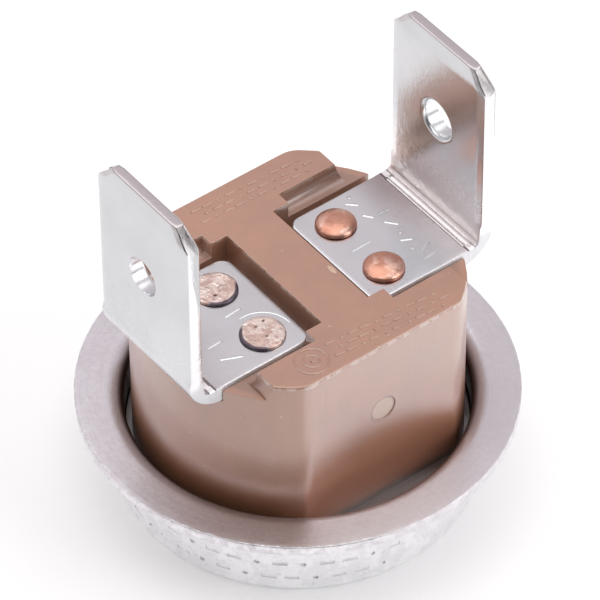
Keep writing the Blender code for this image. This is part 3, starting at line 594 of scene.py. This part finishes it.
def dull_finish(name, colour, roughness, tint):
    """An unglazed or moulded surface with a fine grain."""
    f = Finish(name)
    grain = f.noise(8, 3)
    cloud = f.noise(0.7, 3).rise(0.35, 0.7)
    return f.finish(f.mix(tuple(colour), tint, cloud * 0.5), roughness + grain * 0.1, grain, 0.01 * MM)


def add_object(name, mesh):
    """Put a mesh, lamp or camera in the scene."""
    made = bpy.data.objects.new(name, mesh)
    bpy.context.scene.collection.objects.link(made)
    return made


def settled(piece):
    """Apply a piece's modifiers to its mesh."""
    depsgraph = bpy.context.evaluated_depsgraph_get()
    mesh = bpy.data.meshes.new_from_object(piece.evaluated_get(depsgraph))
    piece.modifiers.clear()
    piece.data = mesh
    return piece


def merged_copy(node, name):
    """A CAD piece as one joined mesh, its flat faces whole again."""
    body = bmesh.new()
    body.from_mesh(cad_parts[node].data)
    bmesh.ops.remove_doubles(body, verts=body.verts, dist=MERGE)
    bmesh.ops.dissolve_limit(body, angle_limit=math.radians(0.4), verts=body.verts, edges=body.edges)
    mesh = bpy.data.meshes.new(name)
    body.to_mesh(mesh)
    body.free()
    return add_object(name, mesh)


def cut(piece, cutter):
    """Cut with a helper piece, which is then removed; the solver works in millimetres."""
    for held in (piece, cutter):
        held.data.transform(Matrix.Scale(1 / MM, 4))
    modifier = piece.modifiers.new("Cut", "BOOLEAN")
    modifier.object = cutter
    modifier.operation = "DIFFERENCE"
    modifier.solver = "EXACT"
    settled(piece)
    piece.data.transform(Matrix.Scale(MM, 4))
    bpy.data.objects.remove(cutter)
    return piece


def eased(piece, width):
    """Round a piece's sharp edges and shade its flat faces evenly."""
    bevel = piece.modifiers.new("Edges", "BEVEL")
    bevel.width = width
    bevel.segments = 2
    bevel.limit_method = "ANGLE"
    bevel.angle_limit = math.radians(50)
    settled(piece)
    piece.data.shade_smooth()
    even = piece.modifiers.new("Even", "WEIGHTED_NORMAL")
    even.weight = 100
    return settled(piece)


def dressed(piece, material, nodes, sharp=35):
    """Give a piece its finish and hide the nodes it stands for; it rides on the switch's body."""
    piece.data.materials.clear()
    piece.data.materials.append(material)
    if sharp:
        piece.data.shade_smooth()
        piece.data.set_sharp_from_angle(angle=math.radians(sharp))
    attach(piece, "switch")
    if nodes:
        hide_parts(*nodes)
    return piece


def turned(name, profile, steps, place=(0, 0, 0)):
    """A solid turned round Z from a half section that starts and ends on the axis."""
    body = bmesh.new()
    chain = [body.verts.new((x, 0, z)) for x, z in profile]
    edges = [body.edges.new(pair) for pair in zip(chain, chain[1:])]
    bmesh.ops.spin(
        body, geom=chain + edges, cent=(0, 0, 0), axis=(0, 0, 1), angle=2 * math.pi, steps=steps,
        use_merge=False)
    bmesh.ops.remove_doubles(body, verts=body.verts, dist=MERGE)
    bmesh.ops.recalc_face_normals(body, faces=body.faces)
    bmesh.ops.translate(body, verts=body.verts, vec=place)
    mesh = bpy.data.meshes.new(name)
    body.to_mesh(mesh)
    body.free()
    return add_object(name, mesh)


def arc(centre, radius, start, end, steps):
    """Pairs along an arc; the angles are in degrees."""
    angles = [math.radians(start + (end - start) * i / steps) for i in range(steps + 1)]
    return [(centre[0] + radius * math.cos(a), centre[1] + radius * math.sin(a)) for a in angles]


class Recipe:
    """A geometry node tree, written call by call."""

    def __init__(self, name, inputs):
        self.tree = bpy.data.node_groups.new(name, "GeometryNodeTree")
        self.tree.interface.new_socket("Shape", in_out="OUTPUT", socket_type="NodeSocketGeometry")
        for title, kind, default in inputs:
            made = self.tree.interface.new_socket(title, in_out="INPUT", socket_type="NodeSocket" + kind)
            if default is not None:
                made.default_value = default
        self.given = self.tree.nodes.new("NodeGroupInput").outputs

    def put(self, socket, value):
        """Link a value to a socket, or set the socket to it."""
        if isinstance(value, bpy.types.NodeSocket):
            self.tree.links.new(value, socket)
        else:
            socket.default_value = value

    def add(self, kind, output=0, settings=None, **values):
        """Add a node; values go to its sockets by name, and its output socket comes back."""
        made = self.tree.nodes.new(kind)
        for name, value in (settings or {}).items():
            setattr(made, name, value)
        for name, value in values.items():
            socket = next(s for s in made.inputs if s.name.replace(" ", "_") == name and s.enabled)
            for one in value if isinstance(value, list) else [value]:
                self.put(socket, one)
        return made.outputs[output]

    def math(self, operation, first, second):
        """One Math node on two values."""
        result = self.add("ShaderNodeMath", settings={"operation": operation})
        for socket, value in zip(result.node.inputs, (first, second)):
            self.put(socket, value)
        return result

    def end(self, shape):
        """Make the shape real, give it the Finish input and pass it out."""
        real = self.add("GeometryNodeRealizeInstances", Geometry=shape)
        painted = self.add("GeometryNodeSetMaterial", Geometry=real, Material=self.given["Finish"])
        self.put(self.tree.nodes.new("NodeGroupOutput").inputs["Shape"], painted)
        return self.tree


def grown(piece, tree, **values):
    """Run a node tree on a piece with its inputs set by name."""
    modifier = piece.modifiers.new("Recipe", "NODES")
    modifier.node_group = tree
    sockets = {s.name: s.identifier for s in tree.interface.items_tree if s.in_out == "INPUT"}
    for name, value in values.items():
        modifier[sockets[name]] = value
    return settled(piece)


def stroke_tree():
    """Round strokes along a mesh's edges, and a ball on each vertex that has no edge."""
    known = bpy.data.node_groups.get("thermostat_strokes")
    if known:
        return known
    recipe = Recipe("thermostat_strokes", [
        ("Lines", "Geometry", None), ("Width", "Float", 0.16 * MM), ("Dot", "Float", 0.2 * MM),
        ("Sides", "Int", 8), ("Finish", "Material", None)])
    given = recipe.given
    half = recipe.math("DIVIDE", given["Width"], 2)
    line = recipe.add("GeometryNodeMeshToCurve", Mesh=given["Lines"])
    section = recipe.add("GeometryNodeCurvePrimitiveCircle", Resolution=given["Sides"], Radius=half)
    tube = recipe.add("GeometryNodeCurveToMesh", Curve=line, Profile_Curve=section, Fill_Caps=True)
    edges = recipe.add("GeometryNodeInputMeshVertexNeighbors")
    equal = {"data_type": "INT", "operation": "EQUAL"}
    lone = recipe.add("FunctionNodeCompare", settings=equal, A=edges, B=0)
    spots = recipe.add("GeometryNodeMeshToPoints", Mesh=given["Lines"], Selection=lone)
    radius = recipe.math("DIVIDE", given["Dot"], 2)
    ball = recipe.add("GeometryNodeMeshIcoSphere", Radius=radius, Subdivisions=3)
    balls = recipe.add("GeometryNodeInstanceOnPoints", Points=spots, Instance=ball)
    return recipe.end(recipe.add("GeometryNodeJoinGeometry", Geometry=[tube, balls]))


def rivet_tree():
    """One rivet stood on each vertex, each turned its own way and its head hammered uneven."""
    known = bpy.data.node_groups.get("thermostat_rivets")
    if known:
        return known
    recipe = Recipe("thermostat_rivets", [
        ("Places", "Geometry", None), ("Rivet", "Object", None), ("Seat", "Float", HAMMERED_FROM),
        ("Hammering", "Float", DOME_HAMMERING), ("Dents", "Float", DENTS_PER_METRE),
        ("Finish", "Material", None)])
    given = recipe.given
    shape = recipe.add("GeometryNodeObjectInfo", output="Geometry", Object=given["Rivet"])
    turn = recipe.add(
        "FunctionNodeRandomValue", output=1, settings={"data_type": "FLOAT"}, Min=0.0, Max=6.0,
        Seed=TURNS_SEED)
    axis = recipe.add("ShaderNodeCombineXYZ", Z=turn)
    stood = recipe.add("GeometryNodeInstanceOnPoints", Points=given["Places"], Instance=shape, Rotation=axis)
    real = recipe.add("GeometryNodeRealizeInstances", Geometry=stood)
    place = recipe.add("GeometryNodeInputPosition")
    height = recipe.add("ShaderNodeSeparateXYZ", output="Z", Vector=place)
    above = {"data_type": "FLOAT", "operation": "GREATER_THAN"}
    proud = recipe.add("FunctionNodeCompare", settings=above, A=height, B=given["Seat"])
    dents = recipe.add("ShaderNodeTexNoise", Vector=place, Scale=given["Dents"], Detail=2.0)
    depth = recipe.math("MULTIPLY", dents, given["Hammering"])
    shift = recipe.add("ShaderNodeCombineXYZ", Z=recipe.math("MULTIPLY", depth, -1))
    return recipe.end(recipe.add("GeometryNodeSetPosition", Geometry=real, Selection=proud, Offset=shift))


def strokes(name, lines, width, material=None, sides=8):
    """Round strokes along 3D lines; a closed line is a ring, and one point is a dot."""
    points, edges = [], []
    for line in lines:
        first = len(points)
        ring = len(line) > 2 and (Vector(line[0]) - Vector(line[-1])).length < MERGE
        kept = line[:-1] if ring else line
        points += kept
        edges += [(first + i, first + i + 1) for i in range(len(kept) - 1)]
        if ring:
            edges.append((first + len(kept) - 1, first))
    mesh = bpy.data.meshes.new(name)
    mesh.from_pydata(points, edges, [])
    piece = grown(
        add_object(name, mesh), stroke_tree(), Width=width, Dot=1.25 * width, Sides=sides, Finish=material)
    body = bmesh.new()
    body.from_mesh(piece.data)
    bmesh.ops.recalc_face_normals(body, faces=body.faces)
    body.to_mesh(piece.data)
    body.free()
    return piece


def ring_line(centre, radius, z, steps):
    """A closed ring of points at one height."""
    return [(*spot, z) for spot in arc(centre, radius, 0, 360, steps)]


def mark_row(start, end, height, rows, z):
    """Staggered rows of dashes and dots, between two points of a flat face."""
    start, end = Vector(start), Vector(end)
    along = (end - start).normalized() * height
    across = Vector((-along.y, along.x))
    lines = []
    for i, row in enumerate(rows):
        level = across * BAND_REACH * (1 - 2 * i / (len(rows) - 1))
        for k, sign in enumerate(row):
            middle = start.lerp(end, (k + 0.5 * (i % 2)) / len(row)) + level
            if sign == "-":
                lines.append([(*(middle + along * reach), z) for reach in (-DASH_HALF, DASH_HALF)])
            else:
                lines.append([(*middle, z)])
    return lines


def cup_profile(sizes, wall):
    """Half section of the cup: along its floor, up the bore, over the flange and down the wall."""
    top, sheet, bore, mouth = sizes.cup_height, sizes.cup_sheet, sizes.bore_radius, sizes.mouth_round
    rim, under = sizes.flange_radius - RIM_ROUND, top - sheet
    neck = under - NECK_ROUND
    profile = [(0, sheet), (0.5 * bore, sheet)]
    profile += arc((bore - FLOOR_CORNER, sheet + FLOOR_CORNER), FLOOR_CORNER, -90, 0, 4)
    profile += [(bore, 0.5 * (sheet + top - mouth))]
    profile += arc((bore + mouth, top - mouth), mouth, 180, 90, 12)
    profile += [(bore + mouth + (rim - bore - mouth) * i / 8, top) for i in range(1, 8)]
    profile += arc((rim, top - RIM_ROUND), RIM_ROUND, 90, 0, 5)
    profile += arc((rim, under + RIM_ROUND), RIM_ROUND, 0, -90, 5)
    profile += arc((wall + NECK_ROUND, neck), NECK_ROUND, 90, 180, 3)
    profile += [(wall, FOOT_CORNER + (neck - FOOT_CORNER) * (1 - i / 6)) for i in range(1, 6)]
    profile += arc((wall - FOOT_CORNER, FOOT_CORNER), FOOT_CORNER, 0, -90, 6)
    return profile + [(0.5 * wall, 0), (0, 0)]


def wear_flange(piece, sizes):
    """Nick the flange's edge inwards and dent its upper corner."""
    rim = sizes.flange_radius - RIM_ROUND
    corner = sizes.cup_height - sizes.cup_sheet + RIM_ROUND
    for v in piece.data.vertices:
        radius = math.hypot(v.co.x, v.co.y)
        if radius > rim - RIM_WEAR_WIDTH:
            nick = noise.noise(v.co / NICK_SPACING) + 0.6 * noise.noise(v.co / NICK_FINE_SPACING)
            v.co.xy *= 1 - max(0, nick) * NICK_DEPTH / radius
            if v.co.z > corner:
                v.co.z -= max(0, noise.noise(v.co / DENT_SPACING + DENT_SHIFT)) * DENT_DEPTH


def wall_marks(radius):
    """Staggered rows of dashes and dots, as lines round the cup's wall."""
    lines = []
    for i, row in enumerate(WALL_ROWS):
        for k, sign in enumerate(row):
            angle = WALL_START + (k + 0.5 * (i % 2)) * WALL_PITCH
            spots = [math.radians(angle + turn) for turn in (WALL_DASH if sign == "-" else (0,))]
            height = WALL_ROW_TOP - WALL_ROW_STEP * i
            lines.append([(radius * math.cos(a), radius * math.sin(a), height) for a in spots])
    return lines


def build_cup(sizes, colours):
    """The drawn cup, with a worn flange edge and strokes stamped in its wall."""
    wall = sizes.bore_radius + sizes.cup_sheet
    piece = turned("cup", cup_profile(sizes, wall), CUP_STEPS)
    wear_flange(piece, sizes)
    lines = wall_marks(wall + 0.2 * sizes.mark_width)
    cut(piece, strokes("cup_stamps", lines, 1.3 * sizes.mark_width))
    dressed(piece, aluminium_finish(colours), ["sensing_cup"])


def build_base(sizes, colours):
    """The moulded base with its raised marks."""
    finish = moulding_finish(colours)
    piece = eased(merged_copy("switch_base", "base"), sizes.edge_round)
    dressed(piece, finish, ["switch_base"], sharp=None)
    z = BASE_HIGH.z - 0.5 * sizes.mark_width + sizes.mark_height
    lines = [ring_line(RING_PLACE, radius, z, steps) for radius, steps in RING_RADII]
    lines += [[(*RING_PLACE, z)]]
    lines += mark_row(*NEAR_BAND, BAND_HEIGHT, BAND_ROWS, z)
    lines += mark_row(*FAR_BAND, BAND_HEIGHT, BAND_ROWS[::-1], z)
    marks = strokes("moulded_marks", lines, sizes.mark_width, finish)
    dressed(marks, finish, [])


def spread(points, step):
    """Add points along straight runs, so that none is longer than step."""
    dense = []
    for a, b in zip(points, points[1:] + points[:1]):
        a, b = Vector(a), Vector(b)
        count = max(1, math.ceil((b - a).length / step))
        dense += [a.lerp(b, i / count) for i in range(count)]
    return dense


def tab_section(sizes):
    """Side view of the right-hand tab, anticlockwise, its tip pressed thin."""
    soft = sizes.tab_edge
    start, under, outer, tip = RIGHT_LOW.x, RIGHT_LOW.z, RIGHT_HIGH.x, RIGHT_HIGH.z
    section = arc((start + soft, under + soft), soft, 180, 270, 3)
    section += arc((outer - OUTER_BEND, under + OUTER_BEND), OUTER_BEND, -90, 0, 16)
    section += [(outer, tip - TIP_TAPER)]
    section += arc((outer - TIP_PRESS - soft, tip - soft), soft, 10, 90, 3)
    section += arc((TAB_INNER + TIP_PRESS + soft, tip - soft), soft, 90, 170, 3)
    section += [(TAB_INNER, tip - TIP_TAPER)]
    section += arc((TAB_INNER - INNER_BEND, PLATE_TOP + INNER_BEND), INNER_BEND, 0, -90, 10)
    section += arc((start + soft, PLATE_TOP - soft), soft, 90, 180, 3)
    return spread(section, SECTION_STEP)


def tab_half_width(x, z):
    """Half of the tab's width at a point of its side view."""
    if z > BLADE_START:
        return BLADE_WIDTH / 2 - max(0, z - (RIGHT_HIGH.z - TAB_CHAMFER))
    if x > SHOULDER:
        widened = min(1, (x - SHOULDER) / SHOULDER_RUN)
        return PLATE_WIDTH / 2 + widened * (BLADE_WIDTH - PLATE_WIDTH) / 2
    into = max(0, PLATE_CORNER - (x - RIGHT_LOW.x))
    return PLATE_WIDTH / 2 - (PLATE_CORNER - math.sqrt(max(0, PLATE_CORNER ** 2 - into ** 2)))


def sheet_spot(p, inward, y, off, soft):
    """A point of the tab's skin: eased and pressed near an edge, a little uneven at the bend."""
    eased_by = EDGE_EASE * (soft - math.sqrt(max(0, soft ** 2 - max(0, soft - off) ** 2)))
    pressed = smooth(p.y, *BLADE_FOOT) * EDGE_PRESS * max(0, 1 - off / EDGE_REACH)
    spot = p + inward * eased_by
    spot.x = TAB_MIDDLE + (spot.x - TAB_MIDDLE) * (1 - pressed)
    at_bend = smooth(p.x, *BEND_RUN) * (1 - smooth(p.y, *BEND_FADE))
    place = Vector((p.x, y, p.y))
    wave = noise.noise(place / BEND_RIPPLE) * at_bend + 0.5 * noise.noise(place / BLADE_RIPPLE)
    lump = smooth(y, *LUMP_SIDE) * math.exp(-((p - LUMP_SPOT).length / LUMP_REACH) ** 2)
    spot -= inward * LUMP_HEIGHT * lump
    return spot + inward * RIPPLE_HEIGHT * wave * smooth(off, 0, EDGE_REACH)


def tab_piece(name, sizes, side):
    """One tab: its side view repeated across its width, thinner towards its two edges."""
    section = tab_section(sizes)
    count = len(section)
    inward = []
    for i in range(count):
        along = section[(i + 1) % count] - section[i - 1]
        inward.append(Vector((-along.y, along.x)).normalized())
    soft = sizes.tab_edge
    offsets = [soft * share for share in EDGE_ROWS] + [EDGE_REACH * share for share in PRESSED_ROWS]
    half_rows = FLAT_ROWS // 2
    last = half_rows + len(offsets)
    body = bmesh.new()
    rows = []
    for j in range(-last, last + 1):
        row = []
        for p, n in zip(section, inward):
            half = tab_half_width(p.x, p.y)
            if abs(j) <= half_rows:
                off, y = 2 * offsets[-1], (half - offsets[-1]) * j / half_rows
            else:
                off = offsets[last - abs(j)]
                y = math.copysign(half - off, j)
            spot = sheet_spot(p, n, y, off, soft)
            row.append(body.verts.new((spot.x, y, spot.y)))
        rows.append(row)
    for a, b in zip(rows, rows[1:]):
        for i in range(count):
            k = (i + 1) % count
            body.faces.new((a[i], a[k], b[k], b[i]))
    body.faces.new(rows[0])
    body.faces.new(rows[-1])
    bmesh.ops.recalc_face_normals(body, faces=body.faces)
    place = Matrix.Translation((0, TAB_SHIFT, 0)) @ facing(side)
    bmesh.ops.transform(body, matrix=place, verts=body.verts)
    mesh = bpy.data.meshes.new(name)
    body.to_mesh(mesh)
    body.free()
    return add_object(name, mesh)


def facing(side):
    """Turn a shape made for the right-hand tab to its own side."""
    return Matrix.Rotation(0 if side > 0 else math.pi, 4, "Z")


def smooth(value, low, high):
    """0 before low and 1 past high, smooth between; low may be the greater."""
    share = min(1, max(0, (value - low) / (high - low)))
    return share * share * (3 - 2 * share)


def hole_tool(side):
    """Cutter for a blade's hole, its mouth rounded on the inner face."""
    wide = HOLE_RADIUS + HOLE_MOUTH
    profile = [(0, 2 * TAB_SHEET), (HOLE_RADIUS, 2 * TAB_SHEET)]
    profile += arc((wide, HOLE_MOUTH), HOLE_MOUTH, 180, 270, 5)
    hole = turned("hole", profile + [(wide, -TAB_SHEET), (0, -TAB_SHEET)], 48)
    laid = Matrix.Rotation(math.pi / 2, 4, "Y")
    turn = facing(side) @ Matrix.Translation((TAB_INNER, 0, HOLE_HEIGHT)) @ laid
    hole.data.transform(Matrix.Translation((0, TAB_SHIFT, 0)) @ turn)
    return hole


def rivet_drill(centre):
    """Cutter for a rivet's hole in a plate."""
    low, high = LEFT_LOW.z - MM, PLATE_TOP + MM
    profile = [(0, low), (RIVET_HOLE, low), (RIVET_HOLE, high), (0, high)]
    return turned("drill", profile, 48, (centre.x, centre.y, 0))


def bend_grooves(side):
    """Two lines across the plate, beside the bend."""
    lines = []
    for away in GROOVES_FROM_BEND:
        x = (TAB_INNER - INNER_BEND - away) * side
        lines.append([(x, TAB_SHIFT + side * y, PLATE_TOP) for y in (-GROOVE_HALF, GROOVE_HALF)])
    return lines


def rivet_ring():
    """Part of a ring round the front rivet of the left plate."""
    spots = arc(middle_of("left_rivet_front"), RIVET_RING_RADIUS, -5, 99, 13)
    return [[(*spot, PLATE_TOP + 0.02 * MM) for spot in spots]]


def build_tabs(sizes, colours):
    """The two tabs, with their holes, grooves and the strokes stamped in their plates."""
    finish = plating_finish(colours)
    depth = PLATE_TOP + 0.5 * sizes.mark_width - sizes.stamp_depth
    for hand, side in (("left", -1), ("right", 1)):
        piece = tab_piece(f"{hand}_tab", sizes, side)
        cut(piece, hole_tool(side))
        for row in ("front", "rear"):
            cut(piece, rivet_drill(middle_of(f"{hand}_rivet_{row}")))
        stamps = [[(x * MM, y * MM, depth) for x, y in line] for line in PLATE_STROKES[side]]
        cut(piece, strokes("stamps", stamps, sizes.mark_width))
        cut(piece, strokes("grooves", bend_grooves(side), GROOVE_WIDTH, sides=12))
        if side < 0:
            cut(piece, strokes("ring_groove", rivet_ring(), RIVET_RING_WIDTH))
        dressed(piece, finish, [f"{hand}_terminal"], sharp=28)


def build_rivets(colours):
    """Two pairs of rivets: low copper domes at the right, staked discs at the left."""
    pairs = (
        ("right", copper_finish(colours), "rivet_copper", DOME_HAMMERING),
        ("left", staked_finish(colours), "rivet_staked", STAKED_HAMMERING),
    )
    for side, material, slot, hammering in pairs:
        nodes = [f"{side}_rivet_{row}" for row in ("front", "rear")]
        low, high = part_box(nodes[0])
        rivet = turned(side + "_rivet", rivet_profile(side, low.z, high.z), RIVET_STEPS)
        mesh = bpy.data.meshes.new(side + "_rivets")
        mesh.from_pydata([(*middle_of(node).xy, 0) for node in nodes], [], [])
        piece = grown(
            add_object(side + "_rivets", mesh), rivet_tree(), Rivet=rivet, Seat=HAMMERED_FROM,
            Hammering=hammering, Dents=DENTS_PER_METRE, Finish=material)
        bpy.data.objects.remove(rivet)
        dressed(piece, material, nodes)


def rivet_profile(side, low, high):
    """Half section of a rivet from the middle of its head down to its foot."""
    if side == "right":
        collar = RIVET_SEAT + DOME_COLLAR
        slopes = [math.radians(t) for t in range(0, 91, 5)]
        head = [(DOME_RADIUS * math.sin(t), collar + (high - collar) * math.cos(t)) for t in slopes]
        head += [(DOME_RADIUS, RIVET_SEAT + DOME_LIP), (DOME_UNDERCUT, RIVET_SEAT)]
    else:
        head = [(STAKED_RADIUS * i / 10, high - STAKED_DIP) for i in range(9)]
        head += arc((STAKED_RADIUS - STAKED_EDGE, high - STAKED_EDGE), STAKED_EDGE, 70, -20, 4)
        head += [(STAKED_UNDERCUT, RIVET_SEAT)]
    return head + [
        (RIVET_SHANK, RIVET_SEAT), (RIVET_SHANK, FOOT_TOP), (FOOT_RADIUS, FOOT_TOP),
        (FOOT_RADIUS, (low + FOOT_TOP) / 2), (FOOT_TIP_RADIUS, low + FOOT_TIP), (RIVET_SHANK, low), (0, low),
    ]


def dress_insides(colours):
    """Finishes for the pieces inside, which keep their CAD shapes."""
    brass = strip_finish("rolled_brass", colours.brass, 0.3, (0.55, 0.38, 0.18))
    spring = strip_finish("spring_alloy", colours.spring, 0.28, (0.55, 0.30, 0.18))
    silver = strip_finish("contact_silver", colours.silver, 0.25, (0.62, 0.60, 0.57))
    bimetal = strip_finish("bimetal_strip", colours.bimetal, 0.32, (0.42, 0.38, 0.34))
    ceramic = dull_finish("pin_ceramic", colours.ceramic, 0.45, (0.75, 0.70, 0.62))
    guide = dull_finish("guide_phenolic", (0.20, 0.12, 0.08), 0.5, (0.14, 0.08, 0.05))
    finishes = {
        "bimetal_disc": bimetal, "pin_guide": guide, "transfer_pin": ceramic, "arm_bracket": brass,
        "fixed_contact_strip": brass, "contact_arm": spring, "moving_contact": silver,
        "fixed_contact": silver,
    }
    for node, material in finishes.items():
        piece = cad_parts[node]
        if not piece.material_slots:
            piece.data.materials.append(material)
        for held in piece.material_slots:
            held.material = material


def build_stage():
    """Floor, lights, world and the camera at the photograph's angle."""
    scene = bpy.context.scene
    scene.view_settings.view_transform = "Standard"
    corners = [(x * FLOOR_REACH, y * FLOOR_REACH, 0) for x, y in ((-1, -1), (1, -1), (1, 1), (-1, 1))]
    floor_mesh = bpy.data.meshes.new("floor")
    floor_mesh.from_pydata(corners, [], [(0, 1, 2, 3)])
    floor = add_object("floor", floor_mesh)
    floor.data.materials.append(floor_finish())
    light_world(scene)
    for name, spot, size, power, colour in LAMPS:
        lamp = bpy.data.lights.new(name, "AREA")
        lamp.shape = "SQUARE"
        lamp.size = size
        lamp.energy = power
        lamp.color = colour
        held = add_object(name, lamp)
        held.location = spot
        held.rotation_euler = (LAMP_AIM - Vector(spot)).to_track_quat("-Z", "Y").to_euler()
    add_camera(scene)


def floor_finish():
    """Pale floor that keeps the shadow; it glows as painted light, faintly to the camera and, in reflections,
    brighter at the front right and near the object.
    """
    pale, near, far = (0.88, 0.88, 0.88), 12, 24
    f = Finish("pale_floor")
    x, y = f.place()[:2]
    glossy = f.node("ShaderNodeLightPath", {}, {}, "Is Glossy Ray")
    camera = f.node("ShaderNodeLightPath", {}, {}, "Is Camera Ray")
    # Painted light: for reflections the floor glows brighter towards the front right and near the object.
    lit = (x * 0.6 - y * 0.8).rise(4, 24) * 0.35
    painted_glow_near = ((x * x + y * y) ** 0.5).rise(far, near) * 0.17
    shown = glossy * (0.15 + lit + painted_glow_near) + camera * 0.25
    glow = f.node("ShaderNodeEmission", {}, {"Color": f.at(shown, shown, shown), "Strength": 1.0})
    plain = f.node("ShaderNodeBsdfDiffuse", {}, {"Color": pale})
    both = f.node("ShaderNodeAddShader", {}, (glow, plain))
    f.join(f.tree.nodes["Material Output"].inputs["Surface"], both)
    f.tree.nodes.remove(f.shader)
    return f.material


def light_world(scene):
    """White for the camera; for the rest a soft tent, brighter behind the object than in front."""
    behind_way = (0.605, 0.796, 0.0)
    world = bpy.data.worlds.new("tent")
    world.use_nodes = True
    scene.world = world
    n = Nodes(world.node_tree)
    way = n.node("ShaderNodeTexCoord", {}, {}, "Generated")
    height = n.parts(way)[2]
    behind = n.node("ShaderNodeVectorMath", {"operation": "DOT_PRODUCT"}, (way, behind_way), "Value")
    front, back = (n.ramp(stops, height) for stops in (FRONT_LIGHT, BACK_LIGHT))
    tent = n.mix(front, back, behind.rise(-0.72, -0.15))
    camera = n.node("ShaderNodeLightPath", {}, {}, "Is Camera Ray")
    n.join(n.tree.nodes["Background"].inputs["Color"], n.mix(tent, WHITE, camera))


def add_camera(scene):
    """The photograph's camera, worked out from the object's edges."""
    azimuth, elevation, roll = (math.radians(a) for a in CAMERA_TURN)
    level = Vector((math.sin(azimuth), -math.cos(azimuth), 0)) * math.cos(elevation)
    back = level + Vector((0, 0, math.sin(elevation)))
    right = Vector((math.cos(azimuth), math.sin(azimuth), 0))
    up = back.cross(right)
    side = right * math.cos(roll) + up * math.sin(roll)
    head = -right * math.sin(roll) + up * math.cos(roll)
    camera = bpy.data.cameras.new("camera")
    camera.sensor_width = 36
    camera.lens = FOCAL_PIXELS / PHOTO_PIXELS * camera.sensor_width
    camera.clip_start = 0.01
    camera.clip_end = 10
    held = add_object("camera", camera)
    spot = CAMERA_AIM + back * CAMERA_DISTANCE - side * CAMERA_SHIFT[0] - head * CAMERA_SHIFT[1]
    held.matrix_world = Matrix.Translation(spot) @ Matrix((side, head, back)).transposed().to_4x4()
    scene.camera = held


class THERMOSTAT_OT_cup(bpy.types.Operator):
    """Turn the cup, wear its flange and stamp its wall"""

    bl_idname = "thermostat.cup"
    bl_label = "Sensing Cup"

    def execute(self, context):
        build_cup(context.scene.thermostat_sizes, context.scene.thermostat_colours)
        return {"FINISHED"}


class THERMOSTAT_OT_base(bpy.types.Operator):
    """Ease the moulded base's edges and raise its marks"""

    bl_idname = "thermostat.base"
    bl_label = "Moulded Base"

    def execute(self, context):
        build_base(context.scene.thermostat_sizes, context.scene.thermostat_colours)
        return {"FINISHED"}


class THERMOSTAT_OT_tabs(bpy.types.Operator):
    """Bend, cut and stamp the two tabs"""

    bl_idname = "thermostat.tabs"
    bl_label = "Tabs"

    def execute(self, context):
        build_tabs(context.scene.thermostat_sizes, context.scene.thermostat_colours)
        return {"FINISHED"}


class THERMOSTAT_OT_rivets(bpy.types.Operator):
    """Turn the rivets and stand two on each plate"""

    bl_idname = "thermostat.rivets"
    bl_label = "Rivets"

    def execute(self, context):
        build_rivets(context.scene.thermostat_colours)
        return {"FINISHED"}


class THERMOSTAT_OT_insides(bpy.types.Operator):
    """Finish the disc, pin, arm, strips and contacts"""

    bl_idname = "thermostat.insides"
    bl_label = "Pieces Inside"

    def execute(self, context):
        dress_insides(context.scene.thermostat_colours)
        return {"FINISHED"}


class THERMOSTAT_OT_stage(bpy.types.Operator):
    """Set the floor, the lights and the camera"""

    bl_idname = "thermostat.stage"
    bl_label = "Stage"

    def execute(self, context):
        build_stage()
        return {"FINISHED"}


OPERATORS = (
    THERMOSTAT_OT_cup, THERMOSTAT_OT_base, THERMOSTAT_OT_tabs, THERMOSTAT_OT_rivets,
    THERMOSTAT_OT_insides, THERMOSTAT_OT_stage,
)


class THERMOSTAT_PT_panel(bpy.types.Panel):
    """Sizes, colours and pieces of the thermostat"""

    bl_idname = "THERMOSTAT_PT_panel"
    bl_label = "Boiler Thermostat"
    bl_space_type = "VIEW_3D"
    bl_region_type = "UI"
    bl_category = "Thermostat"

    def draw(self, context):
        layout = self.layout
        for group in (context.scene.thermostat_sizes, context.scene.thermostat_colours):
            for name in group.__annotations__:
                layout.prop(group, name)
        for operator in OPERATORS:
            layout.operator(operator.bl_idname)


CLASSES = (ThermostatSizes, ThermostatColours, *OPERATORS, THERMOSTAT_PT_panel)


def register():
    for made in CLASSES:
        bpy.utils.register_class(made)
    bpy.types.Scene.thermostat_sizes = PointerProperty(type=ThermostatSizes)
    bpy.types.Scene.thermostat_colours = PointerProperty(type=ThermostatColours)


def unregister():
    del bpy.types.Scene.thermostat_colours
    del bpy.types.Scene.thermostat_sizes
    for made in reversed(CLASSES):
        bpy.utils.unregister_class(made)


def main():
    """Build every piece and the stage."""
    register()
    bpy.ops.thermostat.cup()
    bpy.ops.thermostat.base()
    bpy.ops.thermostat.tabs()
    bpy.ops.thermostat.rivets()
    bpy.ops.thermostat.insides()
    bpy.ops.thermostat.stage()


if __name__ == "__main__":
    main()
